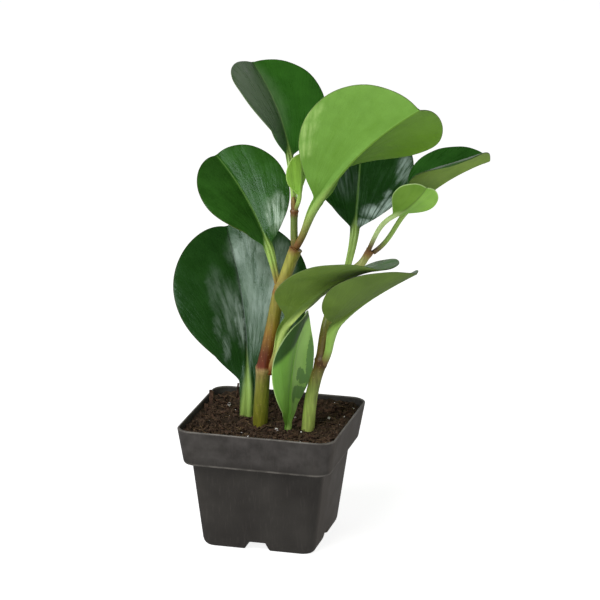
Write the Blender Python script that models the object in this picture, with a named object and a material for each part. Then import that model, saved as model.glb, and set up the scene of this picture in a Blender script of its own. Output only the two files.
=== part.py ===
# Potted peperomia (baby rubber plant) in a square nursery pot.
# Units: the lists below are in millimetres, the model is in metres, +Z up.
# Origin: centre of the pot on the surface that it stands on. -Y is the front.
# Each leaf is one solid with its petiole. Headings are compass-like angles in the
# ground plane: 0 along +X, 90 along +Y (away from the front). Pitch is the climb of
# the midrib from level, roll turns the blade about its midrib.
import math
import bpy
import numpy as np
from mathutils import Vector

MM = 0.001

# ------------------------------------------------------------------ driving sizes
POT_HEIGHT = 78.0
RIM_WIDTH = 100.0
BAND_HEIGHT = 23.0
BAND_FOOT_WIDTH = 93.0
WALL_TOP_WIDTH = 84.0
BASE_WIDTH = 71.0
WALL = 1.2
RIM_CORNER = 10.0
BASE_CORNER = 8.0
POCKET_HEIGHT = 5.0
POCKET_DEPTH = 19.0
POCKET_FOOT_WIDTH = 15.5
POCKET_ROOF_WIDTH = 9.0
DRAIN_RADIUS = 3.0
SOIL_LEVEL = 70.5
SOIL_DISH = 3.2
GAP = 0.3

LEAF_THICKNESS = 1.1
MARGIN_THICKNESS = 0.7


# ------------------------------------------------------------------ scene helpers
def clear_scene():
    for thing in list(bpy.data.objects):
        bpy.data.objects.remove(thing, do_unlink=True)


def make_material(name, colour, roughness):
    mat = bpy.data.materials.new(name)
    mat.use_nodes = True
    shader = mat.node_tree.nodes["Principled BSDF"]
    shader.inputs["Base Color"].default_value = (colour[0], colour[1], colour[2], 1.0)
    shader.inputs["Roughness"].default_value = roughness
    mat.diffuse_color = (colour[0], colour[1], colour[2], 1.0)
    return mat


def mesh_object(name, points, faces, mat=None):
    """One object from points in millimetres."""
    mesh = bpy.data.meshes.new(name)
    mesh.from_pydata([(p[0] * MM, p[1] * MM, p[2] * MM) for p in points], [], faces)
    mesh.update()
    obj = bpy.data.objects.new(name, mesh)
    bpy.context.scene.collection.objects.link(obj)
    if mat:
        mesh.materials.append(mat)
    return obj


def boolean(target, cutter, operation):
    """Apply one Boolean and remove the cutter."""
    cutter.hide_render = True
    cutter.display_type = "WIRE"
    mod = target.modifiers.new("cut", "BOOLEAN")
    mod.operation = operation
    mod.solver = "EXACT"
    mod.object = cutter
    bpy.ops.object.select_all(action="DESELECT")
    bpy.context.view_layer.objects.active = target
    target.select_set(True)
    bpy.ops.object.modifier_apply(modifier=mod.name)
    bpy.data.objects.remove(cutter, do_unlink=True)


# ------------------------------------------------------------------ square rings
def square_ring(width, z, corner, steps=5):
    """Rounded square at height z, counter-clockwise from above."""
    half = width / 2.0 - corner
    ring = []
    for quarter in range(4):
        cx = half if quarter in (0, 3) else -half
        cy = half if quarter in (0, 1) else -half
        for k in range(steps + 1):
            a = math.radians(90.0 * quarter + 90.0 * k / steps)
            ring.append((cx + corner * math.cos(a), cy + corner * math.sin(a), z))
    return ring


def loft(name, rings, mat=None):
    """Closed solid through rings of equal count, flat caps at both ends."""
    count = len(rings[0])
    points = [p for ring in rings for p in ring]
    faces = []
    for i in range(len(rings) - 1):
        for j in range(count):
            k = (j + 1) % count
            a = i * count
            b = a + count
            faces.append((a + j, a + k, b + k, b + j))
    faces.append(tuple(reversed(range(count))))
    last = (len(rings) - 1) * count
    faces.append(tuple(range(last, last + count)))
    return mesh_object(name, points, faces, mat)


def pockets(name, extra):
    """Four trapezoid bars, one per side: the raised drainage pockets under the floor."""
    a = POCKET_FOOT_WIDTH / 2.0 + extra
    b = POCKET_ROOF_WIDTH / 2.0 + extra
    top = POCKET_HEIGHT + extra
    back = BASE_WIDTH / 2.0 - POCKET_DEPTH - extra
    section = [(-a, -2.0 - extra), (a, -2.0 - extra), (a, 0.4), (b, top), (-b, top), (-a, 0.4)]
    points = []
    faces = []
    for quarter in range(4):
        c = math.cos(math.radians(90 * quarter))
        s = math.sin(math.radians(90 * quarter))
        first = len(points)
        for out in (60.0, back):
            for u, w in section:
                points.append((out * c - u * s, out * s + u * c, w))
        faces.append(tuple(first + i for i in range(6)))
        faces.append(tuple(first + 11 - i for i in range(6)))
        for i in range(6):
            j = (i + 1) % 6
            faces.append((first + j, first + i, first + 6 + i, first + 6 + j))
    return mesh_object(name, points, faces)


def body_rings(shrink, floor, top):
    """Rings of the pot's outer form, moved inward by shrink, from floor to top."""
    band = POT_HEIGHT - BAND_HEIGHT
    rings = []
    lift = [(floor, BASE_WIDTH - 5.0, 5.5), (floor + 0.9, BASE_WIDTH - 1.6, 7.2),
            (floor + 3.0, BASE_WIDTH + 0.4, 8.0)]
    for z, width, corner in lift:
        rings.append(square_ring(width - 2 * shrink, z, max(corner - shrink, 2.0)))
    step = shrink * 0.55
    wall_top = WALL_TOP_WIDTH - 2 * shrink
    rings.append(square_ring(wall_top, band - 0.6 + step, BASE_CORNER + 0.5 - shrink))
    foot = BAND_FOOT_WIDTH - 2 * shrink
    rings.append(square_ring(foot - 1.0, band + step, RIM_CORNER - 0.8 - shrink))
    rings.append(square_ring(foot, band + 0.5 + step, RIM_CORNER - 0.5 - shrink))
    share = (top - band) / BAND_HEIGHT
    width = BAND_FOOT_WIDTH + (RIM_WIDTH - BAND_FOOT_WIDTH) * share
    rings.append(square_ring(width - 2 * shrink, top, RIM_CORNER - shrink))
    return rings


def build_pot():
    mat = make_material("black_polypropylene", (0.045, 0.043, 0.041), 0.5)
    pot = loft("pot", body_rings(0.0, 0.0, POT_HEIGHT), mat)
    boolean(pot, pockets("pocket_cut", 0.0), "DIFFERENCE")
    room = loft("room", body_rings(WALL, WALL, POT_HEIGHT + 1.0))
    boolean(room, pockets("pocket_roof", WALL), "DIFFERENCE")
    boolean(pot, room, "DIFFERENCE")
    for x, y in ((25, 0), (-25, 0), (0, 25), (0, -25)):
        rings = []
        for z in (2.0, 9.0):
            ring = []
            for k in range(12):
                a = math.tau * k / 12
                ring.append((x + DRAIN_RADIUS * math.cos(a), y + DRAIN_RADIUS * math.sin(a), z))
            rings.append(ring)
        boolean(pot, loft("drain", rings), "DIFFERENCE")
    return pot


# ------------------------------------------------------------------ soil
def soil_height(x, y):
    """Lumpy potting mix: a few sines of unlike length stand in for the crumbs."""
    h = 0.55 * math.sin(0.23 * x + 1.3) * math.sin(0.19 * y + 0.4)
    h += 0.45 * math.sin(0.41 * x - 0.33 * y + 0.9)
    h += 0.35 * math.sin(0.62 * x + 0.55 * y + 2.1) * math.sin(0.5 * y - 0.2 * x)
    return h


def build_soil(stem_feet):
    mat = make_material("peat_potting_mix", (0.045, 0.03, 0.022), 0.95)
    top = SOIL_LEVEL
    rings = body_rings(WALL + GAP, WALL + GAP, top + SOIL_DISH - 0.6)
    count = len(rings[0])
    edge = rings[-1]
    points = [p for ring in rings for p in ring]
    faces = []
    for i in range(len(rings) - 1):
        for j in range(count):
            k = (j + 1) % count
            faces.append((i * count + j, i * count + k, (i + 1) * count + k, (i + 1) * count + j))
    faces.append(tuple(reversed(range(count))))
    start = (len(rings) - 1) * count
    inner = 11
    for i in range(1, inner):
        share = 1.0 - i / inner
        for x, y, z in edge:
            px = x * share
            py = y * share
            lift = SOIL_DISH * share ** 3 + soil_height(px, py)
            points.append((px, py, SOIL_LEVEL + lift))
    centre = len(points)
    points.append((0.0, 0.0, top + soil_height(0.0, 0.0)))
    for i in range(inner - 1):
        a = start + i * count
        for j in range(count):
            k = (j + 1) % count
            faces.append((a + j, a + k, a + count + k, a + count + j))
    a = start + (inner - 1) * count
    for j in range(count):
        faces.append((a + j, a + (j + 1) % count, centre))
    soil = mesh_object("soil", points, faces, mat)
    boolean(soil, pockets("pocket_room", WALL + GAP), "DIFFERENCE")
    for x, y, radius, depth in stem_feet:
        rings = []
        for z in (SOIL_LEVEL - depth - GAP, SOIL_LEVEL + 9.0):
            ring = []
            for k in range(16):
                t = math.tau * k / 16
                ring.append((x + radius * math.cos(t), y + radius * math.sin(t), z))
            rings.append(ring)
        boolean(soil, loft("hole", rings), "DIFFERENCE")
    return soil


# ------------------------------------------------------------------ stems
def smooth_path(stops, per_leg):
    """Centripetal-free Catmull-Rom through (x, y, z, radius) stops."""
    pts = [np.array(s, float) for s in stops]
    pts = [2 * pts[0] - pts[1]] + pts + [2 * pts[-1] - pts[-2]]
    out = []
    for i in range(1, len(pts) - 2):
        for k in range(per_leg):
            t = k / per_leg
            a, b, c, d = pts[i - 1], pts[i], pts[i + 1], pts[i + 2]
            p = 0.5 * (2 * b + (c - a) * t + (2 * a - 5 * b + 4 * c - d) * t * t
                       + (3 * b - a - 3 * c + d) * t ** 3)
            out.append(p)
    out.append(pts[-2])
    return out


def tube(name, stops, sides=12, per_leg=3, extra=0.0, mat=None):
    """Round stem along stops (x, y, z, radius), flat ends; extra fattens it."""
    path = smooth_path(stops, per_leg)
    if extra:
        path[0][:3] -= extra * unit(path[1][:3] - path[0][:3])
        path[-1][:3] += extra * unit(path[-1][:3] - path[-2][:3])
    rings = []
    side = np.array((1.0, 0.0, 0.0))
    for i, p in enumerate(path):
        a = path[max(i - 1, 0)][:3]
        b = path[min(i + 1, len(path) - 1)][:3]
        axis = (b - a) / np.linalg.norm(b - a)
        side = side - axis * side.dot(axis)
        side = side / np.linalg.norm(side)
        other = np.cross(axis, side)
        radius = p[3] + extra
        ring = []
        for k in range(sides):
            t = math.tau * k / sides
            ring.append(tuple(p[:3] + radius * (math.cos(t) * side + math.sin(t) * other)))
        rings.append(ring)
    return loft(name, rings, mat)


# Left stem: from the soil past its nodes to the fork, then up its own short branch.
LEFT_STEM = [(-8.0, 0.5, 57.0, 3.9), (-7.9, 0.3, 73.0, 3.9), (-7.0, -1.0, 88.0, 3.8),
             (-5.8, -3.0, 103.0, 3.8), (-5.4, -3.6, 107.5, 4.5), (-4.4, -3.8, 112.0, 3.8),
             (-1.0, -2.5, 131.0, 3.6), (2.2, -1.2, 152.0, 3.4), (3.6, -0.6, 158.0, 3.9),
             (5.4, 0.0, 163.0, 3.3), (9.6, 0.8, 176.0, 3.3), (13.0, 1.2, 185.0, 3.9)]
LEFT_BRANCH = [(12.6, 1.2, 184.0, 2.4), (11.6, 1.6, 192.0, 2.3), (11.2, 2.2, 203.0, 2.2),
               (11.2, 2.5, 207.5, 2.7), (11.2, 2.6, 209.5, 2.2)]
BUD = [(11.2, 2.6, 208.5, 1.9), (10.8, 2.0, 213.0, 1.8), (10.6, 1.8, 217.5, 0.8)]

# Right stem: slimmer, leans outward, ends at the node under the two right-hand leaves.
RIGHT_STEM = [(23.5, -2.8, 57.0, 3.1), (23.6, -2.9, 73.0, 3.1), (24.9, -2.8, 90.0, 2.9),
              (27.4, -2.7, 103.0, 2.9), (29.9, -2.8, 111.5, 3.0), (31.0, -2.8, 115.2, 3.8),
              (31.5, -1.8, 120.0, 3.0), (31.9, 1.5, 131.0, 2.8), (32.8, 6.8, 140.5, 2.7),
              (35.2, 14.6, 151.5, 2.6), (38.6, 20.6, 160.2, 3.1), (43.5, 23.4, 167.0, 2.3),
              (48.8, 25.2, 172.0, 2.2), (51.5, 26.8, 176.3, 2.2), (54.1, 27.6, 180.5, 2.9)]


def build_left_stem():
    mat = make_material("olive_stem", (0.16, 0.15, 0.035), 0.5)
    stem = tube("left_stem", LEFT_STEM, mat=mat)
    boolean(stem, tube("branch", LEFT_BRANCH, 10), "UNION")
    boolean(stem, tube("bud", BUD, 8), "UNION")
    return stem


def build_right_stem():
    mat = make_material("green_stem", (0.17, 0.2, 0.05), 0.5)
    return tube("right_stem", RIGHT_STEM, mat=mat)


# ------------------------------------------------------------------ leaves
def unit(v):
    return v / np.linalg.norm(v)


def bezier(a, b, c, d, t):
    s = 1.0 - t
    return s ** 3 * a + 3 * s * s * t * b + 3 * s * t * t * c + t ** 3 * d


def outline(leaf, t):
    """Flattened half margin at t: (half width, distance along the leaf)."""
    length = leaf["length"]
    width = leaf["width"]
    mid = leaf.get("widest", 0.58)
    shoulder = leaf.get("shoulder", 0.25)
    notch = leaf.get("notch", 0.03)
    if t < 0.5:
        s = t * 2.0
        x = bezier(0.0, 0.13 * width, width / 2, width / 2, s)
        y = bezier(0.0, 0.10 * length, 0.4 * mid * length, mid * length, s)
    else:
        s = t * 2.0 - 1.0
        x = bezier(width / 2, width / 2, shoulder * width, 0.0, s)
        y = bezier(mid, mid + 0.62 * (1 - mid), 1.0 + notch, 1.0, s) * length
    return x, y


class Blade:
    """Bent, folded and twisted surface of one leaf, from its flattened outline."""

    def __init__(self, leaf):
        self.leaf = leaf
        h = math.radians(leaf["heading"])
        p = math.radians(leaf["pitch"])
        r = math.radians(leaf["roll"])
        d = np.array((math.cos(p) * math.cos(h), math.cos(p) * math.sin(h), math.sin(p)))
        up = np.array((-math.sin(p) * math.cos(h), -math.sin(p) * math.sin(h), math.cos(p)))
        n = math.cos(r) * up + math.sin(r) * np.cross(d, up)
        self.start = (d, np.cross(d, n), n)
        self.steps = 60
        self.reach = 1.15 * leaf["length"]
        self.table = [self.frame_at(k / self.steps * 1.15) for k in range(self.steps + 1)]
        spot = np.array(leaf["base"], float)
        self.spots = [spot]
        for k in range(self.steps):
            ahead = (self.table[k][0] + self.table[k + 1][0]) / 2
            spot = spot + ahead * self.reach / self.steps
            self.spots.append(spot)

    def frame_at(self, u):
        leaf = self.leaf
        d, s, n = self.start
        bend = math.radians(leaf.get("bend", 0.0) * u + leaf.get("curl", 0.0) * u * u)
        sweep = math.radians(leaf.get("sweep", 0.0) * u)
        twist = math.radians(leaf.get("twist", 0.0) * u)
        d, n = math.cos(bend) * d + math.sin(bend) * n, -math.sin(bend) * d + math.cos(bend) * n
        d, s = math.cos(sweep) * d + math.sin(sweep) * s, -math.sin(sweep) * d + math.cos(sweep) * s
        s, n = math.cos(twist) * s + math.sin(twist) * n, -math.sin(twist) * s + math.cos(twist) * n
        return d, s, n

    def point(self, x, y):
        """Middle surface at flattened (x across, y along)."""
        leaf = self.leaf
        f = min(max(y / self.reach, 0.0), 0.9999) * self.steps
        i = int(f)
        w = f - i
        spot = self.spots[i] * (1 - w) + self.spots[i + 1] * w
        s = self.table[i][1] * (1 - w) + self.table[i + 1][1] * w
        n = self.table[i][2] * (1 - w) + self.table[i + 1][2] * w
        inner, outer = leaf["left_fold"] if x < 0 else leaf["right_fold"]
        grow = 1.0 + leaf.get("cup", 0.7) * (1.0 - min(y / leaf["length"], 1.0)) ** 2
        opening = min(max(y / (0.16 * leaf["length"]), 0.0), 1.0)
        a = math.radians(inner * grow) * opening
        b = math.radians(outer) * opening
        k = (b - a) / (leaf["width"] / 2)
        if abs(k) < 1e-4:
            k = 1e-4
        wing = max(abs(x) - 1.0, 0.0)
        across = min(abs(x), 1.0) + (math.sin(a + k * wing) - math.sin(a)) / k
        rise = (math.cos(a) - math.cos(a + k * wing)) / k
        return spot + math.copysign(across, x) * s + rise * n

    def normal(self, x, y):
        e = 0.4
        along = self.point(x, y + e) - self.point(x, y - e)
        across = self.point(x + e, y) - self.point(x - e, y)
        return unit(np.cross(across, along))


def cross_columns(half, rib):
    """Places across a row: margin, blade, rib edge, midrib and back."""
    r = min(rib, 0.45 * half)
    outer = [half, half * 0.72 + r * 0.28, half * 0.38 + r * 0.62, r]
    return [-v for v in outer] + [0.0] + outer[::-1]


def section(x, half, stalk):
    """Height above and depth below the middle surface, at x across a row."""
    v = abs(x) / half
    flat = (LEAF_THICKNESS * (1 - v) + MARGIN_THICKNESS * v) / 2
    bow = math.sqrt(max(stalk * stalk - x * x, 0.0))
    groove = 0.3 * stalk if x == 0 else 0.0
    return max(flat, 0.7 * bow - groove), max(flat, bow)


def build_leaf(name, leaf, mat, rows=11, stalk_rows=6, stems=()):
    """One closed solid: petiole and blade share their rings and diagonals."""
    blade = Blade(leaf)
    length = leaf["length"]
    stalk = leaf.get("stalk", 2.0)
    flare = leaf.get("flare", 1.3)
    foot = np.array(leaf["foot"], float)
    base = np.array(leaf["base"], float)
    d0, s0, n0 = blade.start
    reach = np.linalg.norm(base - foot)
    lift = unit(np.array(leaf.get("rise", (0.0, 0.0, 1.0)), float))
    pull_a = foot + lift * reach * 0.4
    pull_b = base - d0 * reach * 0.35
    rings = []
    normal = n0
    tops = []
    for k in range(stalk_rows):
        t = k / stalk_rows
        spot = bezier(foot, pull_a, pull_b, base, t)
        ahead = unit(bezier(foot, pull_a, pull_b, base, t + 0.01) - spot)
        blend = unit(n0 - ahead * n0.dot(ahead))
        side = np.cross(ahead, blend)
        widen = stalk * (1 + (flare - 1) * max(0.0, (t - 0.15) / 0.85) ** 1.5)
        tops.append((spot, side, blend, widen))
    for spot, side, up, widen in tops:
        upper = []
        lower = []
        for x in cross_columns(widen, stalk):
            high, low = section(x, widen, stalk)
            upper.append(spot + side * x + up * high)
            lower.append(spot + side * x - up * low)
        rings.append(upper + lower[::-1])
    for i in range(rows + 1):
        u = (i / rows) ** 0.9
        half, along = outline(leaf, u)
        narrow = stalk * flare * (1 - u) + 1.0 * u
        half = (half ** 3 + narrow ** 3) ** (1 / 3)
        mid = length * u
        rib = stalk * (1 - 0.7 * u)
        upper = []
        lower = []
        for x in cross_columns(half, rib):
            y = mid + (along - mid) * abs(x) / half
            p = blade.point(x, y)
            n = blade.normal(x, y)
            high, low = section(x, half, rib)
            upper.append(p + n * high)
            lower.append(p - n * low)
        rings.append(upper + lower[::-1])
    count = 18
    points = [tuple(p) for ring in rings for p in ring]
    faces = []
    for i in range(len(rings) - 1):
        a = i * count
        b = a + count
        for j in range(count):
            k = (j + 1) % count
            quad = (a + j, b + j, b + k, a + k)
            under = j >= 9
            if under:
                faces.append((quad[0], quad[2], quad[1]))
                faces.append((quad[0], quad[3], quad[2]))
            else:
                faces.append((quad[0], quad[3], quad[1]))
                faces.append((quad[1], quad[3], quad[2]))
    for end in (0, len(rings) - 1):
        a = end * count
        for j in range(8):
            quad = (a + j, a + j + 1, a + 16 - j, a + 17 - j)
            faces.append(tuple(reversed(quad)) if end == 0 else quad)
    obj = mesh_object(name, points, faces, mat)
    for stops in stems:
        boolean(obj, tube("clear", stops, 16, extra=GAP + 0.15), "DIFFERENCE")
    return obj


LEAVES = {
    # top of the plant, on the left branch
    "top_left_leaf": dict(
        foot=(11.2, 2.5, 207.0), base=(5.0, 13.5, 239.5), heading=115, pitch=48, roll=23,
        length=76, width=66, bend=-32, curl=14, sweep=-12, twist=9, left_fold=(20, 16),
        right_fold=(16, 16), shoulder=0.24, notch=0.015, stalk=2.0, flare=1.4, on="branch"),
    "top_young_leaf": dict(
        foot=(11.2, 2.5, 207.0), base=(15.0, -0.5, 219.0), heading=-36, pitch=84, roll=10,
        length=27, width=22, bend=3, left_fold=(23, 11), right_fold=(21, 9), stalk=1.5,
        rise=(0.3, -0.2, 1.0), on="branch", rows=9),
    # big pale leaf turned to the front right, on the fork
    "top_right_leaf": dict(
        foot=(13.0, 1.0, 186.0), base=(28.0, -7.5, 217.5), heading=-20, pitch=56, roll=-37,
        length=103, width=84, bend=-34, curl=11, sweep=-9, twist=16, left_fold=(40, -13),
        right_fold=(9, 9), cup=1.5, widest=0.61, shoulder=0.23, stalk=2.3, flare=1.7,
        rise=(0.6, -0.1, 1.0), on="left"),
    # left side, half way up
    "middle_left_leaf": dict(
        foot=(3.6, -0.6, 158.0), base=(-5.5, 5.0, 184.0), heading=138, pitch=53, roll=-17,
        length=70, width=58, bend=-13, sweep=-16, twist=2, left_fold=(25, -2),
        right_fold=(20, 10), cup=0.62, stalk=2.0, flare=1.6, rise=(-0.35, 0.1, 1.0),
        on="left"),
    # large dark leaf that rises from the soil behind the left stem
    "rear_ground_leaf": dict(
        foot=(-20.5, 12.8, 58.0), base=(-20.5, 16.5, 90.0), heading=105, pitch=58, roll=-3,
        length=107, width=89, bend=-3, sweep=-16, twist=-11, left_fold=(22, -1),
        right_fold=(23, 5), shoulder=0.23, stalk=3.3, flare=1.3, on="soil"),
    # leaves of the right stem
    "rear_right_leaf": dict(
        foot=(38.6, 20.6, 160.2), base=(43.0, 31.0, 192.0), heading=97, pitch=52, roll=10,
        length=74, width=68, bend=-9, curl=-6, twist=6, left_fold=(20, -3),
        right_fold=(7, 13), cup=0.56, stalk=2.0, flare=1.5, rise=(0.2, 0.3, 1.0), on="right"),
    "far_right_leaf": dict(
        foot=(55.6, 28.2, 179.4), base=(77.0, 30.0, 208.0), heading=24, pitch=43, roll=5,
        length=59, width=56, bend=-28, sweep=-5, left_fold=(22, 17), right_fold=(60, -4),
        cup=1.54, widest=0.54, stalk=1.8, flare=1.4, rise=(1.0, 0.15, 0.75), on="right"),
    "right_young_leaf": dict(
        foot=(53.4, 26.2, 181.6), base=(71.0, 14.0, 207.0), heading=-21, pitch=32, roll=-34,
        length=34, width=28, bend=5, curl=8, sweep=19, twist=11, left_fold=(19, -7),
        right_fold=(23, -1), stalk=1.5, flare=1.5, rise=(0.45, -0.35, 1.0), on="right",
        rows=9),
    # two low leaves that reach forward and right
    "front_left_stem_leaf": dict(
        foot=(-2.4, -3.4, 106.0), base=(14.5, -16.0, 145.0), heading=-29, pitch=45, roll=-2,
        length=88, width=75, bend=-16, curl=-15, sweep=4, twist=11, left_fold=(5, 29),
        right_fold=(10, 4), cup=1.43, widest=0.57, notch=0.03, shoulder=0.27, stalk=2.6,
        flare=2.5, rise=(0.65, -0.2, 1.0), on="left"),
    "front_right_stem_leaf": dict(
        foot=(32.4, -3.6, 114.4), base=(44.5, -18.0, 145.5), heading=-44, pitch=39, roll=2,
        length=69, width=65, bend=-4, curl=4, sweep=-40, twist=-11, left_fold=(15, 2),
        right_fold=(-1, 46), cup=1.48, widest=0.57, stalk=2.5, flare=2.1,
        rise=(0.55, -0.3, 1.0), on="right"),
    # folded leaf with pale patches that rises from the soil between the stems
    "front_ground_leaf": dict(
        foot=(11.2, -4.8, 58.0), base=(11.5, -5.5, 72.5), heading=-14, pitch=89, roll=-11,
        length=74, width=58, bend=18, curl=-30, sweep=-22, twist=-19, left_fold=(15, -18),
        right_fold=(-22, 23), cup=0.72, widest=0.61, shoulder=0.21, stalk=2.3, flare=1.5,
        on="soil"),
}


def build_leaves():
    dark = make_material("dark_leaf", (0.03, 0.09, 0.015), 0.35)
    pale = make_material("young_leaf", (0.16, 0.33, 0.05), 0.4)
    light = make_material("leaf_underside", (0.12, 0.2, 0.03), 0.45)
    variegated = make_material("variegated_leaf", (0.14, 0.3, 0.05), 0.4)
    skins = {"top_young_leaf": pale, "right_young_leaf": pale, "top_right_leaf": light,
             "front_ground_leaf": variegated, "front_left_stem_leaf": light,
             "front_right_stem_leaf": light}
    routes = {"left": [LEFT_STEM, LEFT_BRANCH], "branch": [LEFT_BRANCH, BUD],
              "right": [RIGHT_STEM], "soil": []}
    for name, leaf in LEAVES.items():
        build_leaf(name, leaf, skins.get(name, dark), leaf.get("rows", 11),
                   stems=routes[leaf["on"]])


# ------------------------------------------------------------------ assembly
STEM_FEET = [(-8.0, 0.4, 4.3, 13.5), (23.5, -2.8, 3.5, 13.5), (-20.5, 13.4, 4.2, 12.5),
             (11.4, -5.3, 4.3, 12.5)]


def main():
    clear_scene()
    build_pot()
    build_soil(STEM_FEET)
    build_left_stem()
    build_right_stem()
    build_leaves()


main()
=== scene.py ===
# %% [markdown]
# # A potted peperomia, as a modelling lesson
# The plant is a baby rubber plant: thick glossy leaves on jointed, fleshy stems, in a square
# black nursery pot of potting mix. The imported CAD model is loaded first and never touched.
# Nearly every piece that follows is a finer copy of one of its parts, in the same place and
# size, so the model can be dressed without being moved; only the loose crumbs, chips, fibres
# and perlite are new. Sizes are in millimetres in the lists and in metres in the model. -Y
# is the front, +Z is up, and the origin is under the pot.

# %% Load the frame
import math
import random

import bpy
import numpy as np
from mathutils import Matrix, Vector


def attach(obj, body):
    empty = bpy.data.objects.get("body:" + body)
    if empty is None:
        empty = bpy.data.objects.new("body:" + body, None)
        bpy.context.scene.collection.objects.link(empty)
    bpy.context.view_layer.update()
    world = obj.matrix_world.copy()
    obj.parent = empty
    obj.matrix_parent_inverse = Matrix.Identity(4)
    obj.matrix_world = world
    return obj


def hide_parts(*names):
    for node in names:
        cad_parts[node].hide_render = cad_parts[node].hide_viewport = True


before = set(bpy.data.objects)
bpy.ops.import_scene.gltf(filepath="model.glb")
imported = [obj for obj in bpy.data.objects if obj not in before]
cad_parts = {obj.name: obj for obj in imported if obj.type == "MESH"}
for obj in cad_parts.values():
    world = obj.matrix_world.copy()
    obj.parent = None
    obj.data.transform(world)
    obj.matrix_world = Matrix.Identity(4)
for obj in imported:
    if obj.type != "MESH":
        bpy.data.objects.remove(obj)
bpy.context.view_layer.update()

MM = 0.001

# %% [markdown]
# ## Camera
# A small plant looks natural through a long lens from a couple of metres away, a little to
# the right and from slightly above, so that parallel edges of the pot stay nearly parallel.
# The camera is given by its two angles, a small roll, and the point that it looks at. It
# comes first so that each later piece can be judged from it.

# %% Place the camera
AZIMUTH, ELEVATION, ROLL = 13.51, 15.71, 0.95       # degrees
LENS, SENSOR = 194.7, 36.0                          # mm
DISTANCE, LOOK_RIGHT, LOOK_UP = 2.0, 0.0159, 0.1519     # m


def new_object(name, data):
    """An object for some data, linked to the scene."""
    obj = bpy.data.objects.new(name, data)
    bpy.context.scene.collection.objects.link(obj)
    return obj


def place_camera():
    """A camera at the end of a line from the point that it looks at, rolled a little."""
    az, el, roll = (math.radians(v) for v in (AZIMUTH, ELEVATION, ROLL))
    back = Vector((math.sin(az) * math.cos(el), -math.cos(az) * math.cos(el), math.sin(el)))
    right = Vector((math.cos(az), math.sin(az), 0.0))
    up = back.cross(right)
    tilted_right = math.cos(roll) * right + math.sin(roll) * up
    tilted_up = -math.sin(roll) * right + math.cos(roll) * up
    data = bpy.data.cameras.new("studio_camera")
    data.lens = LENS
    data.sensor_width = SENSOR
    camera = new_object("studio_camera", data)
    turn = Matrix((tilted_right, tilted_up, back)).transposed()
    place = right * LOOK_RIGHT + Vector((0, 0, LOOK_UP)) + back * DISTANCE
    camera.matrix_world = Matrix.Translation(place) @ turn.to_4x4()
    return camera


bpy.context.scene.camera = place_camera()
bpy.context.scene.view_settings.view_transform = "Standard"
print("camera at", [round(v, 3) for v in bpy.context.scene.camera.matrix_world.translation])

# %% [markdown]
# ## Tools used by every piece
# Colours are written as sRGB hex, as a paint chart would give them, and one function turns
# them to linear light. One function adds a shader node with its settings and links, and
# short ones stand on it for noise, ranges, sums, mixes and bumps. For meshes, one takes a
# flat grid and rolls it into a closed skin through a stack of rings, which is how a stem and
# a leaf are made here: both are one skin, closed at its two ends.

# %% Colour and node helpers
def hex_colour(code):
    """'#rrggbb' in sRGB to linear RGBA."""
    parts = [int(code[i:i + 2], 16) / 255 for i in (1, 3, 5)]
    return tuple(v / 12.92 if v <= 0.04045 else ((v + 0.055) / 1.055) ** 2.4
                 for v in parts) + (1.0,)


def plug(tree, node, inputs):
    """Links each input to a socket, or sets it to a value. A string is a colour."""
    for key, value in inputs.items():
        if isinstance(value, bpy.types.NodeSocket):
            tree.links.new(value, node.inputs[key])
        elif isinstance(value, str):
            node.inputs[key].default_value = hex_colour(value)
        else:
            node.inputs[key].default_value = value


def add(tree, kind, inputs=None, out=0, stops=None, **settings):
    """One node: settings by name, each input a value or a socket, and a ramp's stops."""
    made = tree.nodes.new(kind)
    for key, value in settings.items():
        setattr(made, key, value)
    plug(tree, made, inputs or {})
    if stops:
        bar = made.color_ramp
        while len(bar.elements) < len(stops):
            bar.elements.new(0.5)
        for element, (place, colour) in zip(bar.elements, stops):
            element.position = place
            element.color = hex_colour(colour)
    return made.outputs[out]


def axes(tree, vector):
    """X, Y and Z of a vector, as three sockets."""
    split = tree.nodes.new("ShaderNodeSeparateXYZ")
    tree.links.new(vector, split.inputs[0])
    return split.outputs


def noise(tree, place, scale, detail, roughness=0.5, out=0):
    """Cloudy noise with that many lumps to each unit of place."""
    return add(tree, "ShaderNodeTexNoise", {"Vector": place, "Scale": scale, "Detail": detail,
                                            "Roughness": roughness}, out)


def remap(tree, value, low, high, start=0.0, end=1.0, **settings):
    """Stretches low..high to start..end, and holds it at start and end outside."""
    return add(tree, "ShaderNodeMapRange", {0: value, 1: low, 2: high, 3: start, 4: end},
               **settings)


def reckon(tree, operation, *values, kind="ShaderNodeMath", out=0):
    """Arithmetic on numbers, or on vectors where kind says so."""
    return add(tree, kind, dict(enumerate(values)), out, operation=operation)


def blend(tree, share, first, second, **settings):
    """Mixes two colours, each a hex code or a socket."""
    return add(tree, "ShaderNodeMix", {0: share, 6: first, 7: second}, 2, data_type="RGBA",
               **settings)


def relief(tree, height, strength, depth):
    """A bump, its depth in mm."""
    return add(tree, "ShaderNodeBump", {"Height": height, "Strength": strength,
                                        "Distance": depth * MM})


def blank_material(name):
    """A material with a Principled shader, and its tree."""
    mat = bpy.data.materials.new(name)
    mat.use_nodes = True
    return mat, mat.node_tree, mat.node_tree.nodes["Principled BSDF"]


VECTOR = "ShaderNodeVectorMath"
SOFT = {"interpolation_type": "SMOOTHSTEP"}
print("green of a young leaf, linear:", [round(v, 3) for v in hex_colour("#69963a")])


# %% Mesh helpers
WELD = 0.01     # points nearer than this, in mm, become one


def only(obj):
    """Selects one object and makes it active."""
    bpy.ops.object.select_all(action="DESELECT")
    bpy.context.view_layer.objects.active = obj
    obj.select_set(True)


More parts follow.
